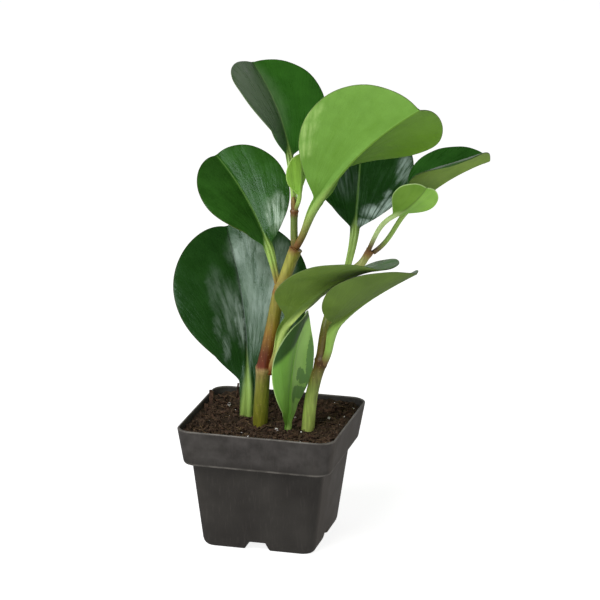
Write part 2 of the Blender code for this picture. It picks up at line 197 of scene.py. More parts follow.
def apply_modifier(obj, kind, **settings):
    """Adds a modifier with its settings and applies it at once."""
    only(obj)
    mod = obj.modifiers.new(kind.lower(), kind)
    for key, value in settings.items():
        setattr(mod, key, value)
    bpy.ops.object.modifier_apply(modifier=mod.name)


def settle(obj):
    """Puts an object's place, turn and scale into its mesh."""
    only(obj)
    bpy.ops.object.transform_apply(location=True, rotation=True, scale=True)


def close_edit():
    """Turns every face of the mesh in edit mode outwards, and leaves edit mode."""
    bpy.ops.mesh.select_all(action="SELECT")
    bpy.ops.mesh.normals_make_consistent(inside=False)
    bpy.ops.object.mode_set(mode="OBJECT")


def smooth(obj, degrees):
    """Smooth shading, with edges sharper than that left crisp."""
    only(obj)
    bpy.ops.object.shade_smooth_by_angle(angle=math.radians(degrees))


def points_of(mesh):
    """The mesh's points as rows of x, y and z."""
    flat = np.zeros(len(mesh.vertices) * 3, np.float32)
    mesh.vertices.foreach_get("co", flat)
    return flat.reshape(-1, 3)


def move_points(mesh, places):
    """Puts the mesh's points at those places, in mm."""
    mesh.vertices.foreach_set("co", (places * MM).astype(np.float32).ravel())


def rolled_skin(name, rings, marks=None, plan=None):
    """Closed skin through rings[row, column], in mm, each ring's last point on its first.
    marks are named numbers for each point, and plan a UV place for each point."""
    rows, columns = rings.shape[:2]
    bpy.ops.object.select_all(action="DESELECT")
    bpy.ops.mesh.primitive_grid_add(x_subdivisions=columns - 1, y_subdivisions=rows - 1,
                                    size=2.0)
    obj = bpy.context.object
    obj.name = obj.data.name = name
    mesh = obj.data
    flat = points_of(mesh)
    column = np.rint((flat[:, 0] + 1) / 2 * (columns - 1)).astype(int)
    row = np.rint((flat[:, 1] + 1) / 2 * (rows - 1)).astype(int)
    move_points(mesh, rings[row, column])
    for mark, values in (marks or {}).items():
        layer = mesh.attributes.new(mark, "FLOAT", "POINT")
        layer.data.foreach_set("value", values[row, column].astype(np.float32))
    while mesh.uv_layers:
        mesh.uv_layers.remove(mesh.uv_layers[0])
    if plan is not None:
        layer = mesh.uv_layers.new(name="leaf_plan")
        corner = np.zeros(len(mesh.loops), np.int32)
        mesh.loops.foreach_get("vertex_index", corner)
        layer.data.foreach_set("uv", plan[row, column][corner].astype(np.float32).ravel())
    bpy.ops.object.mode_set(mode="EDIT")
    bpy.ops.mesh.select_all(action="SELECT")
    bpy.ops.mesh.remove_doubles(threshold=WELD * MM)
    bpy.ops.mesh.select_all(action="DESELECT")
    bpy.ops.mesh.select_mode(type="EDGE")
    bpy.ops.mesh.select_non_manifold()
    bpy.ops.mesh.edge_face_add()
    close_edit()
    bpy.ops.object.shade_smooth()
    return obj


def unit(v):
    """Directions of length 1."""
    return v / np.linalg.norm(v, axis=-1, keepdims=True)


def paint(obj, mat):
    """Gives a piece its one material."""
    obj.data.materials.clear()
    obj.data.materials.append(mat)


print("helpers ready")

# %% [markdown]
# ## Floor and light
# A waxy leaf shows the room as a mirror does, so the light is set for what the leaves see:
# one wide soft box in front, high and to the left, draws the pale sheen on the halves that
# face it. The room is pale round the horizon and dark overhead, so that the other halves
# keep their deep green. A low card in front lifts the undersides and stems, and gloss
# doesn't see it. The floor is plain and pale, and glows a little, as a light table does, so
# that shadows stay soft.

# %% Floor, soft boxes and the room
def soft_box(name, place, aim, width, height, watts):
    """A rectangular lamp at place, turned to aim."""
    data = bpy.data.lights.new(name, "AREA")
    data.shape = "RECTANGLE"
    data.size, data.size_y = width, height
    data.energy = watts
    lamp = new_object(name, data)
    lamp.location = place
    lamp.rotation_mode = "QUATERNION"
    lamp.rotation_quaternion = (Vector(place) - Vector(aim)).to_track_quat("Z", "Y")
    return lamp


def build_room():
    """Brightness by height: dim below, pale round the horizon, dark from 33 degrees up."""
    world = bpy.data.worlds.new("studio_air")
    world.use_nodes = True
    tree = world.node_tree
    across, _, height = axes(tree, add(tree, "ShaderNodeTexCoord"))
    wall = remap(tree, across, -0.3, 0.7, WALL_LEFT, WALL_RIGHT, **SOFT)
    sky = remap(tree, height, 0.26, 0.55, wall, CEILING, **SOFT)
    light = remap(tree, height, -0.12, 0.0, GROUND_GLOSS, sky, **SOFT)
    plug(tree, tree.nodes["Background"], {"Color": "#ffffff", "Strength": light})
    bpy.context.scene.world = world


def build_floor():
    """Pale paper that glows a little. Gloss doesn't see it, so black plastic stays black."""
    bpy.ops.object.select_all(action="DESELECT")
    bpy.ops.mesh.primitive_circle_add(vertices=96, radius=FLOOR_RADIUS, fill_type="NGON")
    floor = bpy.context.object
    floor.name = "studio_floor"
    chalk, tree, paper = blank_material("pale_paper_floor")
    plug(tree, paper, {"Base Color": (0.72, 0.72, 0.72, 1), "Roughness": 0.9,
                       "Emission Color": "#ffffff", "Emission Strength": FLOOR_GLOW})
    floor.data.materials.append(chalk)
    floor.visible_glossy = False


WALL_LEFT, WALL_RIGHT, CEILING, GROUND_GLOSS = 0.75, 0.4, 0.05, 0.22
FLOOR_RADIUS, FLOOR_GLOW = 9.0, 0.85
build_floor()
soft_box("key_box", (-0.72, -1.19, 1.45), (0, 0, 0.15), width=1.7, height=0.57, watts=24)
fill = soft_box("fill_card", (0.45, -1.5, 0.2), (0, 0, 0.12), width=1.1, height=0.3, watts=4)
fill.visible_glossy = False
build_room()

# %% [markdown]
# ## Pot
# The pot is moulded from thin black polypropylene: a tapered square box with round corners, a
# deep band that steps out near the top, and a raised pocket in the middle of each bottom
# edge, with a drain hole in its roof. It could be lofted from rings, but by hand it is
# quicker to start from a square, round its four corners with a vertex bevel, and extrude it
# upwards while scaling it, once for the outside and once for the room inside. Pockets, room
# and drains are then cut with Booleans.

# %% Outer form and room
POT_HEIGHT, RIM_WIDTH, BAND_HEIGHT, BAND_FOOT = 78.0, 100.0, 23.0, 93.0
BASE_WIDTH, WALL = 71.0, 1.2
CORNER_SHARE, CORNER_STEPS = 0.1, 10
BAND_Z = POT_HEIGHT - BAND_HEIGHT


def rounded_box(name, profile):
    """Extrudes a square with round corners through (width, height) steps, in mm."""
    width, level = profile[0]
    bpy.ops.object.select_all(action="DESELECT")
    bpy.ops.mesh.primitive_plane_add(size=width * MM, location=(0, 0, level * MM))
    obj = bpy.context.object
    obj.name = obj.data.name = name
    bpy.ops.object.mode_set(mode="EDIT")
    bpy.ops.mesh.select_all(action="SELECT")
    bpy.ops.mesh.bevel(offset=width * CORNER_SHARE * MM, segments=CORNER_STEPS,
                       affect="VERTICES")
    bpy.ops.mesh.flip_normals()
    for wider, higher in profile[1:]:
        bpy.ops.mesh.extrude_region_move(
            TRANSFORM_OT_translate={"value": (0, 0, (higher - level) * MM)})
        bpy.ops.transform.resize(value=(wider / width, wider / width, 1.0))
        width, level = wider, higher
    close_edit()
    settle(obj)
    return obj


def band_width(z):
    """Outer width of the band at height z. Its lowest and highest mm are rounded."""
    return BAND_FOOT + (RIM_WIDTH - BAND_FOOT) * (z - BAND_Z - 1) / (BAND_HEIGHT - 2.2)


OUTSIDE = [(66.0, 0.0), (68.2, 0.3), (69.8, 1.2), (71.0, 2.4), (71.9, 4.2), (77.6, 28.0),
           (83.6, 53.2), (84.1, 54.2), (84.9, 54.75), (86.4, 55.0), (91.2, 55.0), (92.3, 55.2),
           (93.0, 55.9), (93.5, 57.2), (96.6, 67.0), (99.6, 76.6), (99.8, 77.4), (99.5, 77.8),
           (98.9, 78.0), (98.2, 77.95)]
ROOM = [(63.6, 1.2), (66.5, 1.7), (68.9, 3.4), (75.2, 28.0), (81.3, 53.4), (81.9, 55.2),
        (83.2, 56.1), (84.6, 56.3), (89.0, 56.4), (90.2, 56.8), (90.9, 58.2), (97.3, 77.0),
        (97.5, 77.6), (98.2, 78.4)]
pot = rounded_box("nursery_pot", OUTSIDE)
room = rounded_box("room", ROOM)
print("pot outside:", [round(v / MM, 1) for v in pot.dimensions])

# %% Pockets, room and drains
POCKET_DEPTH, POCKET_FOOT, POCKET_ROOF, POCKET_HIGH = 19.0, 18.5, 11.0, 5.6
BAR_END, BAR_UNDER = 60.0, 2.0
DRAIN_OUT, DRAIN_RADIUS, DRAIN_LONG, DRAIN_Z = 25, 3, 8, 5.5


def pocket_bars(extra):
    """Four tapered bars, one under each side: a cube with its top edge drawn in."""
    bars = []
    for quarter in range(4):
        back = BASE_WIDTH / 2 - POCKET_DEPTH - extra
        length = BAR_END - back
        tall = POCKET_HIGH + extra + BAR_UNDER
        bpy.ops.object.select_all(action="DESELECT")
        bpy.ops.mesh.primitive_cube_add(size=1.0)
        bar = bpy.context.object
        for v in bar.data.vertices:
            wide = (POCKET_ROOF if v.co.z > 0 else POCKET_FOOT) + 2 * extra
            v.co = Vector(((back + length * (v.co.x + 0.5)) * MM, v.co.y * wide * MM,
                           (v.co.z + 0.5) * tall * MM - BAR_UNDER * MM))
        bar.rotation_euler = (0, 0, math.radians(90 * quarter))
        settle(bar)
        bars.append(bar)
    only(bars[0])
    for bar in bars:
        bar.select_set(True)
    bpy.ops.object.join()
    return bpy.context.object


def combine(target, tool, operation="DIFFERENCE"):
    """A Boolean that uses up its tool."""
    apply_modifier(target, "BOOLEAN", operation=operation, solver="EXACT", object=tool)
    bpy.data.objects.remove(tool, do_unlink=True)


combine(pot, pocket_bars(0.0))
combine(room, pocket_bars(WALL))
combine(pot, room)
for x, y in ((DRAIN_OUT, 0), (-DRAIN_OUT, 0), (0, DRAIN_OUT), (0, -DRAIN_OUT)):
    bpy.ops.object.select_all(action="DESELECT")
    bpy.ops.mesh.primitive_cylinder_add(
        vertices=24, radius=DRAIN_RADIUS * MM, depth=DRAIN_LONG * MM,
        location=(x * MM, y * MM, DRAIN_Z * MM))
    combine(pot, bpy.context.object)
smooth(pot, 38)
print("pot faces:", len(pot.data.polygons))

# %% [markdown]
# ## Black polypropylene
# Injection-moulded polypropylene with carbon black is never quite black: it is a warm dark grey
# with a satin skin. Handling leaves hazy scuffs, most of all on the band, and a pale worn line on
# each edge that sticks out, here the top of the rim and the foot of the band; on the rim's top
# that pale line is also a painted highlight, where the edge catches the light. The +X side is
# painted a little lighter and warmer: a painted reflection of the pale floor, which that side sees
# at a grazing angle. Its IOR is 1.49. The skin's fine grain is about 0.3 mm, drawn at 0.8 mm so
# that it shows.

# %% Pot material
def build_polypropylene():
    mat, tree, skin = blank_material("black_polypropylene_moulded")
    place = add(tree, "ShaderNodeTexCoord", out=3)
    across, deep, height = axes(tree, place)
    haze = noise(tree, place, 38.0, 3.0)
    colour = add(tree, "ShaderNodeValToRGB", {0: haze},
                 stops=[(0.30, "#262320"), (0.62, "#2f2c28"), (0.85, "#393531")])
    # scuffs run up and down
    drawn = add(tree, "ShaderNodeMapping", {"Vector": place, "Scale": (900, 900, 60)})
    scuffs = remap(tree, noise(tree, drawn, 1.0, 4.0), 0.55, 0.75, 0.0, 0.3)
    colour = blend(tree, scuffs, colour, "#45403c")
    # hands rub the band
    band = remap(tree, height, BAND_Z * MM, (BAND_Z + 7) * MM)
    rubbed = remap(tree, noise(tree, place, 85.0, 6.0, 0.65), 0.38, 0.68, 0.1, 0.55)
    colour = blend(tree, reckon(tree, "MULTIPLY", band, rubbed), colour, "#4f4b49")
    # painted reflection: the +X side is lighter and warmer, as it shows the pale floor at a
    # grazing angle, up to the middle of its corners
    painted_side_sheen = reckon(tree, "SUBTRACT", across, reckon(tree, "ABSOLUTE", deep))
    painted_side_sheen = remap(tree, painted_side_sheen, 2 * MM, 9 * MM, 0.0, 0.6)
    colour = blend(tree, painted_side_sheen, colour, "#4d453c")
    # edges wear pale, in spots; on the rim's top the pale line is also a painted highlight
    rim = remap(tree, height, (POT_HEIGHT - 1.0) * MM, (POT_HEIGHT - 0.2) * MM)
    foot = reckon(tree, "ABSOLUTE", reckon(tree, "SUBTRACT", height, (BAND_Z + 0.6) * MM))
    foot = remap(tree, foot, 0.4 * MM, 1.1 * MM, 0.5, 0.0)
    patchy = remap(tree, noise(tree, place, 160.0, 3.0), 0.4, 0.6, 0.35, 0.8)
    edge = reckon(tree, "MULTIPLY", reckon(tree, "MAXIMUM", rim, foot), patchy)
    colour = blend(tree, edge, colour, "#7c7770")
    plug(tree, skin, {"Base Color": colour, "IOR": 1.49, "Specular IOR Level": 0.4,
                      "Roughness": remap(tree, haze, 0.3, 0.7, 0.38, 0.56),
                      "Normal": relief(tree, noise(tree, place, 1250.0, 2.0), 0.12, 0.3)})
    return mat


paint(pot, build_polypropylene())
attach(pot, "root")
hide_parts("pot")
print("pot dressed")

# %% [markdown]
# ## Potting mix
# The pot is filled with peat and ground bark, with white perlite grains to keep it airy. Its
# top sags a little in the middle and climbs to the walls. A flat grid is drawn in to the
# pot's round corners, lifted by noise of three sizes (hollows, clods and crumbs), and given
# a skirt and a floor by extruding its edge, so it is one closed block of soil. Loose crumbs,
# bark chips, fibres and perlite are small solids of their own, scattered by a seeded draw.

# %% Soil block
SOIL_LEVEL, SOIL_DISH, SOIL_GAP = 70.5, 4.6, 0.3
SOIL_HALF, SOIL_CORNER, SOIL_EDGE = 47.5, 8.5, 73.5
SOIL_CELLS = 190
SURFACE_LOWEST, POCKET_PLAY = 62.0, 0.4
# size and depth of each noise, and level and half width of each step down, all in mm
SOIL_NOISE = [(9.0, 2.2, "CLOUDS"), (3.2, 1.5, "VORONOI"), (1.3, 0.7, "CLOUDS")]
SKIRT = [(58.6, 44.8), (57.0, 40.2), (5.0, 34.6), (1.5, 32.4)]
# x, y and size of the larger perlite grains, and x, y and radius of what grows there
PERLITE_SPOTS = [(-35.0, 26.0, 2.4), (-27.0, 33.0, 1.8), (5.0, -9.5, 2.2), (32.0, 18.0, 2.0),
                 (43.0, -2.0, 1.8), (20.5, -43.0, 2.4), (-22.0, -20.0, 1.5), (-36.5, -42.0, 2.0)]
STEM_SPOTS = [(-8.0, 0.4, 4.0), (23.5, -2.8, 3.2), (-20.5, 13.4, 3.8), (11.3, -5.1, 2.6)]
# bark that leans on the wall and on the soil: x, y, length, degrees up and heading
LEANING_CHIPS = [(-45.2, 20.5, 9.0, 72, 100), (-33.5, 41.0, 10.0, 84, 20),
                 (-30.0, 38.0, 6.0, 60, 70), (-46.0, 12.0, 5.0, 35, 100)]


def soil_swell(x, y):
    """The slow rise and fall of the soil, in mm: the same lumps as the CAD block has."""
    h = 0.55 * np.sin(0.23 * x + 1.3) * np.sin(0.19 * y + 0.4)
    h += 0.45 * np.sin(0.41 * x - 0.33 * y + 0.9)
    h += 0.35 * np.sin(0.62 * x + 0.55 * y + 2.1) * np.sin(0.5 * y - 0.2 * x)
    return h


def soil_top(x, y):
    """Height of the soil's surface in mm."""
    share = np.maximum(np.abs(x), np.abs(y)) / SOIL_HALF
    return SOIL_LEVEL + SOIL_DISH * share ** 3 + soil_swell(x, y)


def into_corner(x, y, half, corner):
    """Draws the corners of a square of half width 1 in to a rounded square."""
    far = np.maximum(np.abs(x), np.abs(y))
    turn = np.abs(np.minimum(np.abs(x), np.abs(y)) / np.maximum(far, 1e-9))
    c = 1.0 - corner / half
    reach = np.ones_like(turn)
    over = turn > c
    b = c * (1 + turn[over])
    a = 1 + turn[over] ** 2
    reach[over] = (b + np.sqrt(b * b - a * (2 * c * c - (1 - c) ** 2))) / a
    pull = 1 + (reach - 1) * far ** 3
    return x * half * pull, y * half * pull


bpy.ops.object.select_all(action="DESELECT")
bpy.ops.mesh.primitive_grid_add(x_subdivisions=SOIL_CELLS, y_subdivisions=SOIL_CELLS, size=2.0)
soil = bpy.context.object
soil.name = soil.data.name = "potting_mix"
flat = points_of(soil.data)
half = band_width(SOIL_EDGE) / 2 - WALL - SOIL_GAP
x, y = into_corner(flat[:, 0], flat[:, 1], half, SOIL_CORNER)
move_points(soil.data, np.stack([x, y, soil_top(x, y) - 0.5], 1))
print("soil surface points:", len(flat))

# %% Clods and crumbs on the soil, then its skirt and floor
for size, depth, kind in SOIL_NOISE:
    grain = bpy.data.textures.new("soil_grain", kind)
    grain.noise_scale = size * MM
    apply_modifier(soil, "DISPLACE", texture=grain, direction="Z", texture_coords="LOCAL",
                   mid_level=0.5, strength=depth * MM)
bpy.ops.object.mode_set(mode="EDIT")
bpy.ops.mesh.select_mode(type="EDGE")
bpy.ops.mesh.select_all(action="DESELECT")
bpy.ops.mesh.select_non_manifold()
before = half
for level, next_half in SKIRT:
    bpy.ops.mesh.extrude_edges_move()
    bpy.ops.object.mode_set(mode="OBJECT")
    share = next_half / before
    for v in soil.data.vertices:
        if v.select:
            v.co = (v.co.x * share, v.co.y * share, level * MM)
    before = next_half
    bpy.ops.object.mode_set(mode="EDIT")
bpy.ops.mesh.edge_face_add()
close_edit()
combine(soil, pocket_bars(WALL + POCKET_PLAY))
smooth(soil, 60)
print("soil block in mm:", [round(v / MM, 1) for v in soil.dimensions])

# %% [markdown]
# Crumbs, chips, fibres and perlite come from a few seed shapes: an icosphere or a cube with
# its points pushed about. Each seed is copied many times, each time with its own turn and
# size, and the copies are stacked into one mesh, because thousands of objects would be slow
# to join.

# %% Scatter helper
LOOSE_CORNER = 7
draw = random.Random(58)


def seed_shape(kind, rough, seed):
    """Points and faces of a small lump, about 1 across."""
    bpy.ops.object.select_all(action="DESELECT")
    if kind == "chip":
        bpy.ops.mesh.primitive_cube_add(size=1.0)
        bpy.ops.object.mode_set(mode="EDIT")
        bpy.ops.mesh.subdivide(number_cuts=1)
        bpy.ops.object.mode_set(mode="OBJECT")
    else:
        bpy.ops.mesh.primitive_ico_sphere_add(subdivisions=2 if kind == "lump" else 1,
                                              radius=0.5)
    obj = bpy.context.object
    shake = random.Random(seed)
    points = np.array([[c + shake.uniform(-rough, rough) for c in v.co]
                       for v in obj.data.vertices])
    faces = [tuple(p.vertices) for p in obj.data.polygons]
    bpy.data.objects.remove(obj, do_unlink=True)
    return points, faces


def stack(name, copies):
    """One object from (seed shape, 3x3 turn and size in mm, place in mm) copies."""
    points, faces, first = [], [], 0
    for (shape, links), turn, place in copies:
        points.append(shape @ turn.T + place)
        faces += [tuple(first + i for i in face) for face in links]
        first += len(shape)
    mesh = bpy.data.meshes.new(name)
    mesh.from_pydata((np.concatenate(points) * MM).tolist(), [], faces)
    mesh.update()
    return new_object(name, mesh)


def tumble(sizes, lie=1.0):
    """A random turn, flatter as lie nears 0, times the sizes along the lump's own axes."""
    heading = Matrix.Rotation(draw.uniform(0, math.tau), 3, "Z")
    tilt = Matrix.Rotation(draw.gauss(0, 1) * lie, 3, "X")
    roll = Matrix.Rotation(draw.gauss(0, 1) * lie, 3, "Y")
    return np.array(heading @ tilt @ roll) * np.array(sizes)


def soil_spot(clear, reach=45.6):
    """A random place on the soil, clear of the stems by that many mm."""
    while True:
        x, y = draw.uniform(-reach, reach), draw.uniform(-reach, reach)
        inner = reach - LOOSE_CORNER
        corner = math.hypot(max(abs(x) - inner, 0), max(abs(y) - inner, 0))
        free = all(math.hypot(x - a, y - b) > r + clear for a, b, r in STEM_SPOTS)
        if corner < LOOSE_CORNER and free:
            return x, y


# The soil as it came out of the noise, for setting things down on.
tops = {}
for v in soil.data.vertices:
    if v.co.z > SURFACE_LOWEST * MM:
        spot = (round(v.co.x / MM), round(v.co.y / MM))
        tops[spot] = max(tops.get(spot, 0.0), v.co.z / MM)


def ground(x, y):
    return tops.get((round(x), round(y)), float(soil_top(x, y)))


print("known soil spots:", len(tops))

# %% Crumbs, chips, fibres and perlite
crumb_seeds = [seed_shape("crumb", 0.16, n) for n in range(5)]
lump_seeds = [seed_shape("lump", 0.09, n) for n in range(4)]
chip_seeds = [seed_shape("chip", 0.13, n) for n in range(5)]
CRUMBS, LUMPS, CHIPS, FIBRES, GRAINS = 2300, 170, 190, 260, 16

copies = []
for _ in range(CRUMBS):
    size = draw.choice((0.7, 0.9, 1.1, 1.4, 1.9, 2.4))
    x, y = soil_spot(size * 0.3)
    sizes = [size * draw.uniform(0.6, 1.25) for _ in range(3)]
    copies.append((draw.choice(crumb_seeds), tumble(sizes),
                   (x, y, ground(x, y) + size * draw.uniform(-0.1, 0.3))))
for _ in range(LUMPS):
    size = draw.uniform(2.2, 4.2)
    x, y = soil_spot(size * 0.4)
    sizes = [size * draw.uniform(0.7, 1.2), size, size * 0.7]
    copies.append((draw.choice(lump_seeds), tumble(sizes),
                   (x, y, ground(x, y) - size * 0.08)))
crumbs = stack("peat_crumbs", copies)

copies = []
for _ in range(CHIPS):
    long = draw.uniform(1.6, 6.0)
    x, y = soil_spot(long * 0.35, 44.5)
    copies.append((draw.choice(chip_seeds),
                   tumble((long, long * draw.uniform(0.25, 0.5), draw.uniform(0.4, 1.0)), 0.35),
                   (x, y, ground(x, y) + draw.uniform(0.2, 0.9))))
for x, y, long, lean, heading in LEANING_CHIPS:
    turn = Matrix.Rotation(math.radians(heading), 3, "Z") @ Matrix.Rotation(
        math.radians(-lean), 3, "Y")
    rest = ground(x, y) + long * 0.40 * math.sin(math.radians(lean))
    copies.append((chip_seeds[0], np.array(turn) * np.array((long, 2.4, 1.0)), (x, y, rest)))
bark = stack("bark_chips", copies)

copies = []
for _ in range(FIBRES):
    long = draw.uniform(3.0, 9.0)
    x, y = soil_spot(long * 0.3, 43.5)
    copies.append((draw.choice(chip_seeds), tumble((long, 0.45, 0.4), 0.16),
                   (x, y, ground(x, y) + draw.uniform(0.4, 1.0))))
fibres = stack("peat_fibres", copies)

copies = []
for _ in range(GRAINS):
    size = draw.choice((0.7, 0.9, 1.1, 1.5))
    x, y = soil_spot(size * 0.6)
    sizes = [size * draw.uniform(0.8, 1.2) for _ in range(3)]
    copies.append((draw.choice(lump_seeds), tumble(sizes),
                   (x, y, ground(x, y) + size * 0.35)))
for x, y, size in PERLITE_SPOTS:
    copies.append((draw.choice(lump_seeds), tumble((size, size, size)),
                   (x, y, ground(x, y) + size * 0.4)))
perlite = stack("perlite_grains", copies)
print("crumbs, chips, fibres, perlite faces:",
      [len(o.data.polygons) for o in (crumbs, bark, fibres, perlite)])

# %% [markdown]
# ## Soil finishes
# Moist peat is nearly matt, and dark because light is lost between its crumbs. Bark is
# redder and drier, fibres are straw brown, and perlite is popped volcanic glass: white, dull
# and full of bubbles. Crumbs are 1 to 3 mm, so the colour changes at that scale too.

# %% Soil materials
def earth(name, colours, size, rough):
    """A matt, speckled finish: colours in a ramp over noise of the given size in mm."""
    mat, tree, skin = blank_material(name)
    place = add(tree, "ShaderNodeTexCoord", out=3)
    speck = noise(tree, place, 1 / (size * MM), 5.0, 0.7)
    colour = add(tree, "ShaderNodeValToRGB", {0: speck},
                 stops=list(zip((0.28, 0.44, 0.56, 0.72), colours)))
    grit = noise(tree, place, 1600.0, 4.0)
    plug(tree, skin, {"Base Color": colour, "Roughness": rough, "Specular IOR Level": 0.3,
                      "Normal": relief(tree, grit, 0.7, 0.35)})
    return mat


for obj, name, colours, size, rough in (
        (soil, "moist_peat", ("#1e1711", "#33271d", "#49392b", "#624f3c"), 2.4, 0.92),
        (crumbs, "peat_crumb", ("#211811", "#3b2d21", "#564334", "#725d47"), 2.0, 0.9),
        (bark, "composted_bark", ("#241812", "#3f2c20", "#5a4232", "#7d6450"), 3.0, 0.8),
        (fibres, "straw_peat_fibre", ("#2c2218", "#4c3b29", "#6e5940", "#8f7a5a"), 4.0, 0.8),
        (perlite, "expanded_perlite", ("#dad6ce", "#ece9e2", "#f6f4ef", "#fdfcfa"), 0.8, 0.75)):
    paint(obj, earth(name, colours, size, rough))
    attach(obj, "root")
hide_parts("soil")
print("soil dressed")

# %% [markdown]
# ## Stems
# A peperomia's stem is a fleshy rod, jointed where leaves have grown: each joint is a low
# swelling with a pale ring scar. It could be a bevelled curve, but its thickness changes from
# stop to stop, so rings are laid along a smooth path through the stops, each with its own
# radius, and a grid is rolled through them. The radii are up to 1 mm more than the CAD
# stems', which came out a little slim. The left stem's side branch and bud are added with a
# Boolean union, so that they grow out of it.

# %% Path and stem skin
LEFT_STEM = [(-8.0, 0.5, 57.0, 4.7), (-7.9, 0.3, 73.0, 4.7), (-7.0, -1.0, 88.0, 4.6),
             (-5.8, -3.0, 103.0, 4.5), (-5.4, -3.6, 107.5, 5.1), (-4.4, -3.8, 112.0, 4.6),
             (-1.0, -2.5, 131.0, 4.2), (2.2, -1.2, 152.0, 3.9), (3.6, -0.6, 158.0, 4.4),
             (5.4, 0.0, 163.0, 3.8), (9.6, 0.8, 176.0, 3.7), (13.0, 1.2, 185.0, 4.2)]
LEFT_BRANCH = [(12.6, 1.2, 184.0, 2.4), (11.6, 1.6, 192.0, 2.3), (11.2, 2.2, 203.0, 2.2),
               (11.2, 2.5, 207.5, 2.7), (11.2, 2.6, 209.5, 2.2)]
BUD = [(11.2, 2.6, 208.5, 1.9), (10.8, 2.0, 213.0, 1.8), (10.6, 1.8, 217.5, 0.8)]
RIGHT_STEM = [(23.5, -2.8, 57.0, 4.1), (23.6, -2.9, 73.0, 4.1), (24.9, -2.8, 90.0, 3.9),
              (27.4, -2.7, 103.0, 3.7), (29.9, -2.8, 111.5, 3.7), (31.0, -2.8, 115.2, 4.4),
              (31.5, -1.8, 120.0, 3.7), (31.9, 1.5, 131.0, 3.3), (32.8, 6.8, 140.5, 3.1),
              (35.2, 14.6, 151.5, 2.9), (38.6, 20.6, 160.2, 3.4), (43.5, 23.4, 167.0, 2.6),
              (48.8, 25.2, 172.0, 2.5), (51.5, 26.8, 176.3, 2.4), (54.1, 27.6, 180.5, 3.1)]
LEG_STEPS, RIDGE = 10, 0.06
# at each joint a pinched ring, and a low lip a little above it
PINCH, PINCH_WIDTH = 0.28, 0.9
LIP, LIP_WIDTH, LIP_ABOVE = 0.22, 0.8, 1.7


def smooth_path(stops):
    """Catmull-Rom curve through (x, y, z, radius) stops."""
    pts = [np.array(s, float) for s in stops]
    pts = [2 * pts[0] - pts[1]] + pts + [2 * pts[-1] - pts[-2]]
    out = []
    for a, b, c, d in zip(pts, pts[1:], pts[2:], pts[3:]):
        for t in np.arange(LEG_STEPS) / LEG_STEPS:
            out.append(0.5 * (2 * b + (c - a) * t + (2 * a - 5 * b + 4 * c - d) * t * t
                              + (3 * b - a - 3 * c + d) * t ** 3))
    out.append(pts[-2])
    return np.array(out)


def stem_skin(name, stops, sides=40, joints=()):
    """A fleshy rod through the stops, with faint ridges and a ring at each joint's height."""
    path = smooth_path(stops)
    spots, radius = path[:, :3], path[:, 3]
    ahead = unit(np.gradient(spots, axis=0))
    side = np.array((1.0, 0.0, 0.0))
    angle = np.linspace(0, math.tau, sides + 1)
    rings = []
    for i, (spot, axis) in enumerate(zip(spots, ahead)):
        side = unit(side - axis * side.dot(axis))
        other = np.cross(axis, side)
        lift = RIDGE * np.sin(5 * angle + 0.03 * i) + 0.5 * RIDGE * np.sin(9 * angle + 1.0)
        for z in joints:
            lift = lift - PINCH * math.exp(-((spot[2] - z) / PINCH_WIDTH) ** 2)
            lift = lift + LIP * math.exp(-((spot[2] - z - LIP_ABOVE) / LIP_WIDTH) ** 2)
        r = radius[i] + lift
        rings.append(spot + np.outer(r * np.cos(angle), side) + np.outer(r * np.sin(angle), other))
    rings = np.array(rings)
    rings[:, -1] = rings[:, 0]
    return rolled_skin(name, rings)


left = stem_skin("left_jointed_stem", LEFT_STEM, joints=(107.0, 158.0, 184.0))
combine(left, stem_skin("branch", LEFT_BRANCH, 32, joints=(207.0,)), "UNION")
combine(left, stem_skin("bud", BUD, 24), "UNION")
smooth(left, 50)
right = stem_skin("right_jointed_stem", RIGHT_STEM, joints=(114.8, 159.6, 179.6))
print("stem faces:", len(left.data.polygons), len(right.data.polygons))

# %% [markdown]
# ## Stem finish
# The stem's skin is smooth and a little waxy over wet green flesh. It is olive where it is
# old, and reddish brown at and above some joints, where it is bruised and corky; the ring at
# the lowest is a dry tan scar. Height along the stem decides the colour, so it comes from a
# ramp over Z, with streaks of about 1 mm that run upwards.

# %% Stem materials
RAMP_LOW, RAMP_HIGH = 57.0, 220.0


def stem_finish(name, bands):
    """bands are (height in mm, colour) from bottom to top."""
    mat, tree, skin = blank_material(name)
    place = add(tree, "ShaderNodeTexCoord", out=3)
    drawn = add(tree, "ShaderNodeMapping", {"Vector": place, "Scale": (900, 900, 90)})
    streak = noise(tree, drawn, 1.0, 3.0)
    # noise moves the height by up to 3 mm, so that a band has no straight edge
    blur = reckon(tree, "SUBTRACT", noise(tree, place, 130.0, 2.0), 0.5)
    level = reckon(tree, "MULTIPLY_ADD", blur, 6 * MM, axes(tree, place)[2])
    share = remap(tree, level, RAMP_LOW * MM, RAMP_HIGH * MM)
    colour = add(tree, "ShaderNodeValToRGB", {0: share},
                 stops=[((z - RAMP_LOW) / (RAMP_HIGH - RAMP_LOW), code) for z, code in bands])
    tone = remap(tree, streak, 0.3, 0.7, 0.72, 1.22)
    grey = add(tree, "ShaderNodeCombineColor", {0: tone, 1: tone, 2: tone})
    colour = blend(tree, 1.0, colour, grey, blend_type="MULTIPLY")
    lenticels = add(tree, "ShaderNodeTexVoronoi", {"Vector": place, "Scale": 420.0})
    lenticels = remap(tree, lenticels, 0.10, 0.22, 0.35, 0.0)
    colour = blend(tree, lenticels, colour, "#b79a6a")
    plug(tree, skin, {"Base Color": colour, "Roughness": 0.42, "IOR": 1.42,
                      "Normal": relief(tree, streak, 0.35, 0.25)})
    return mat


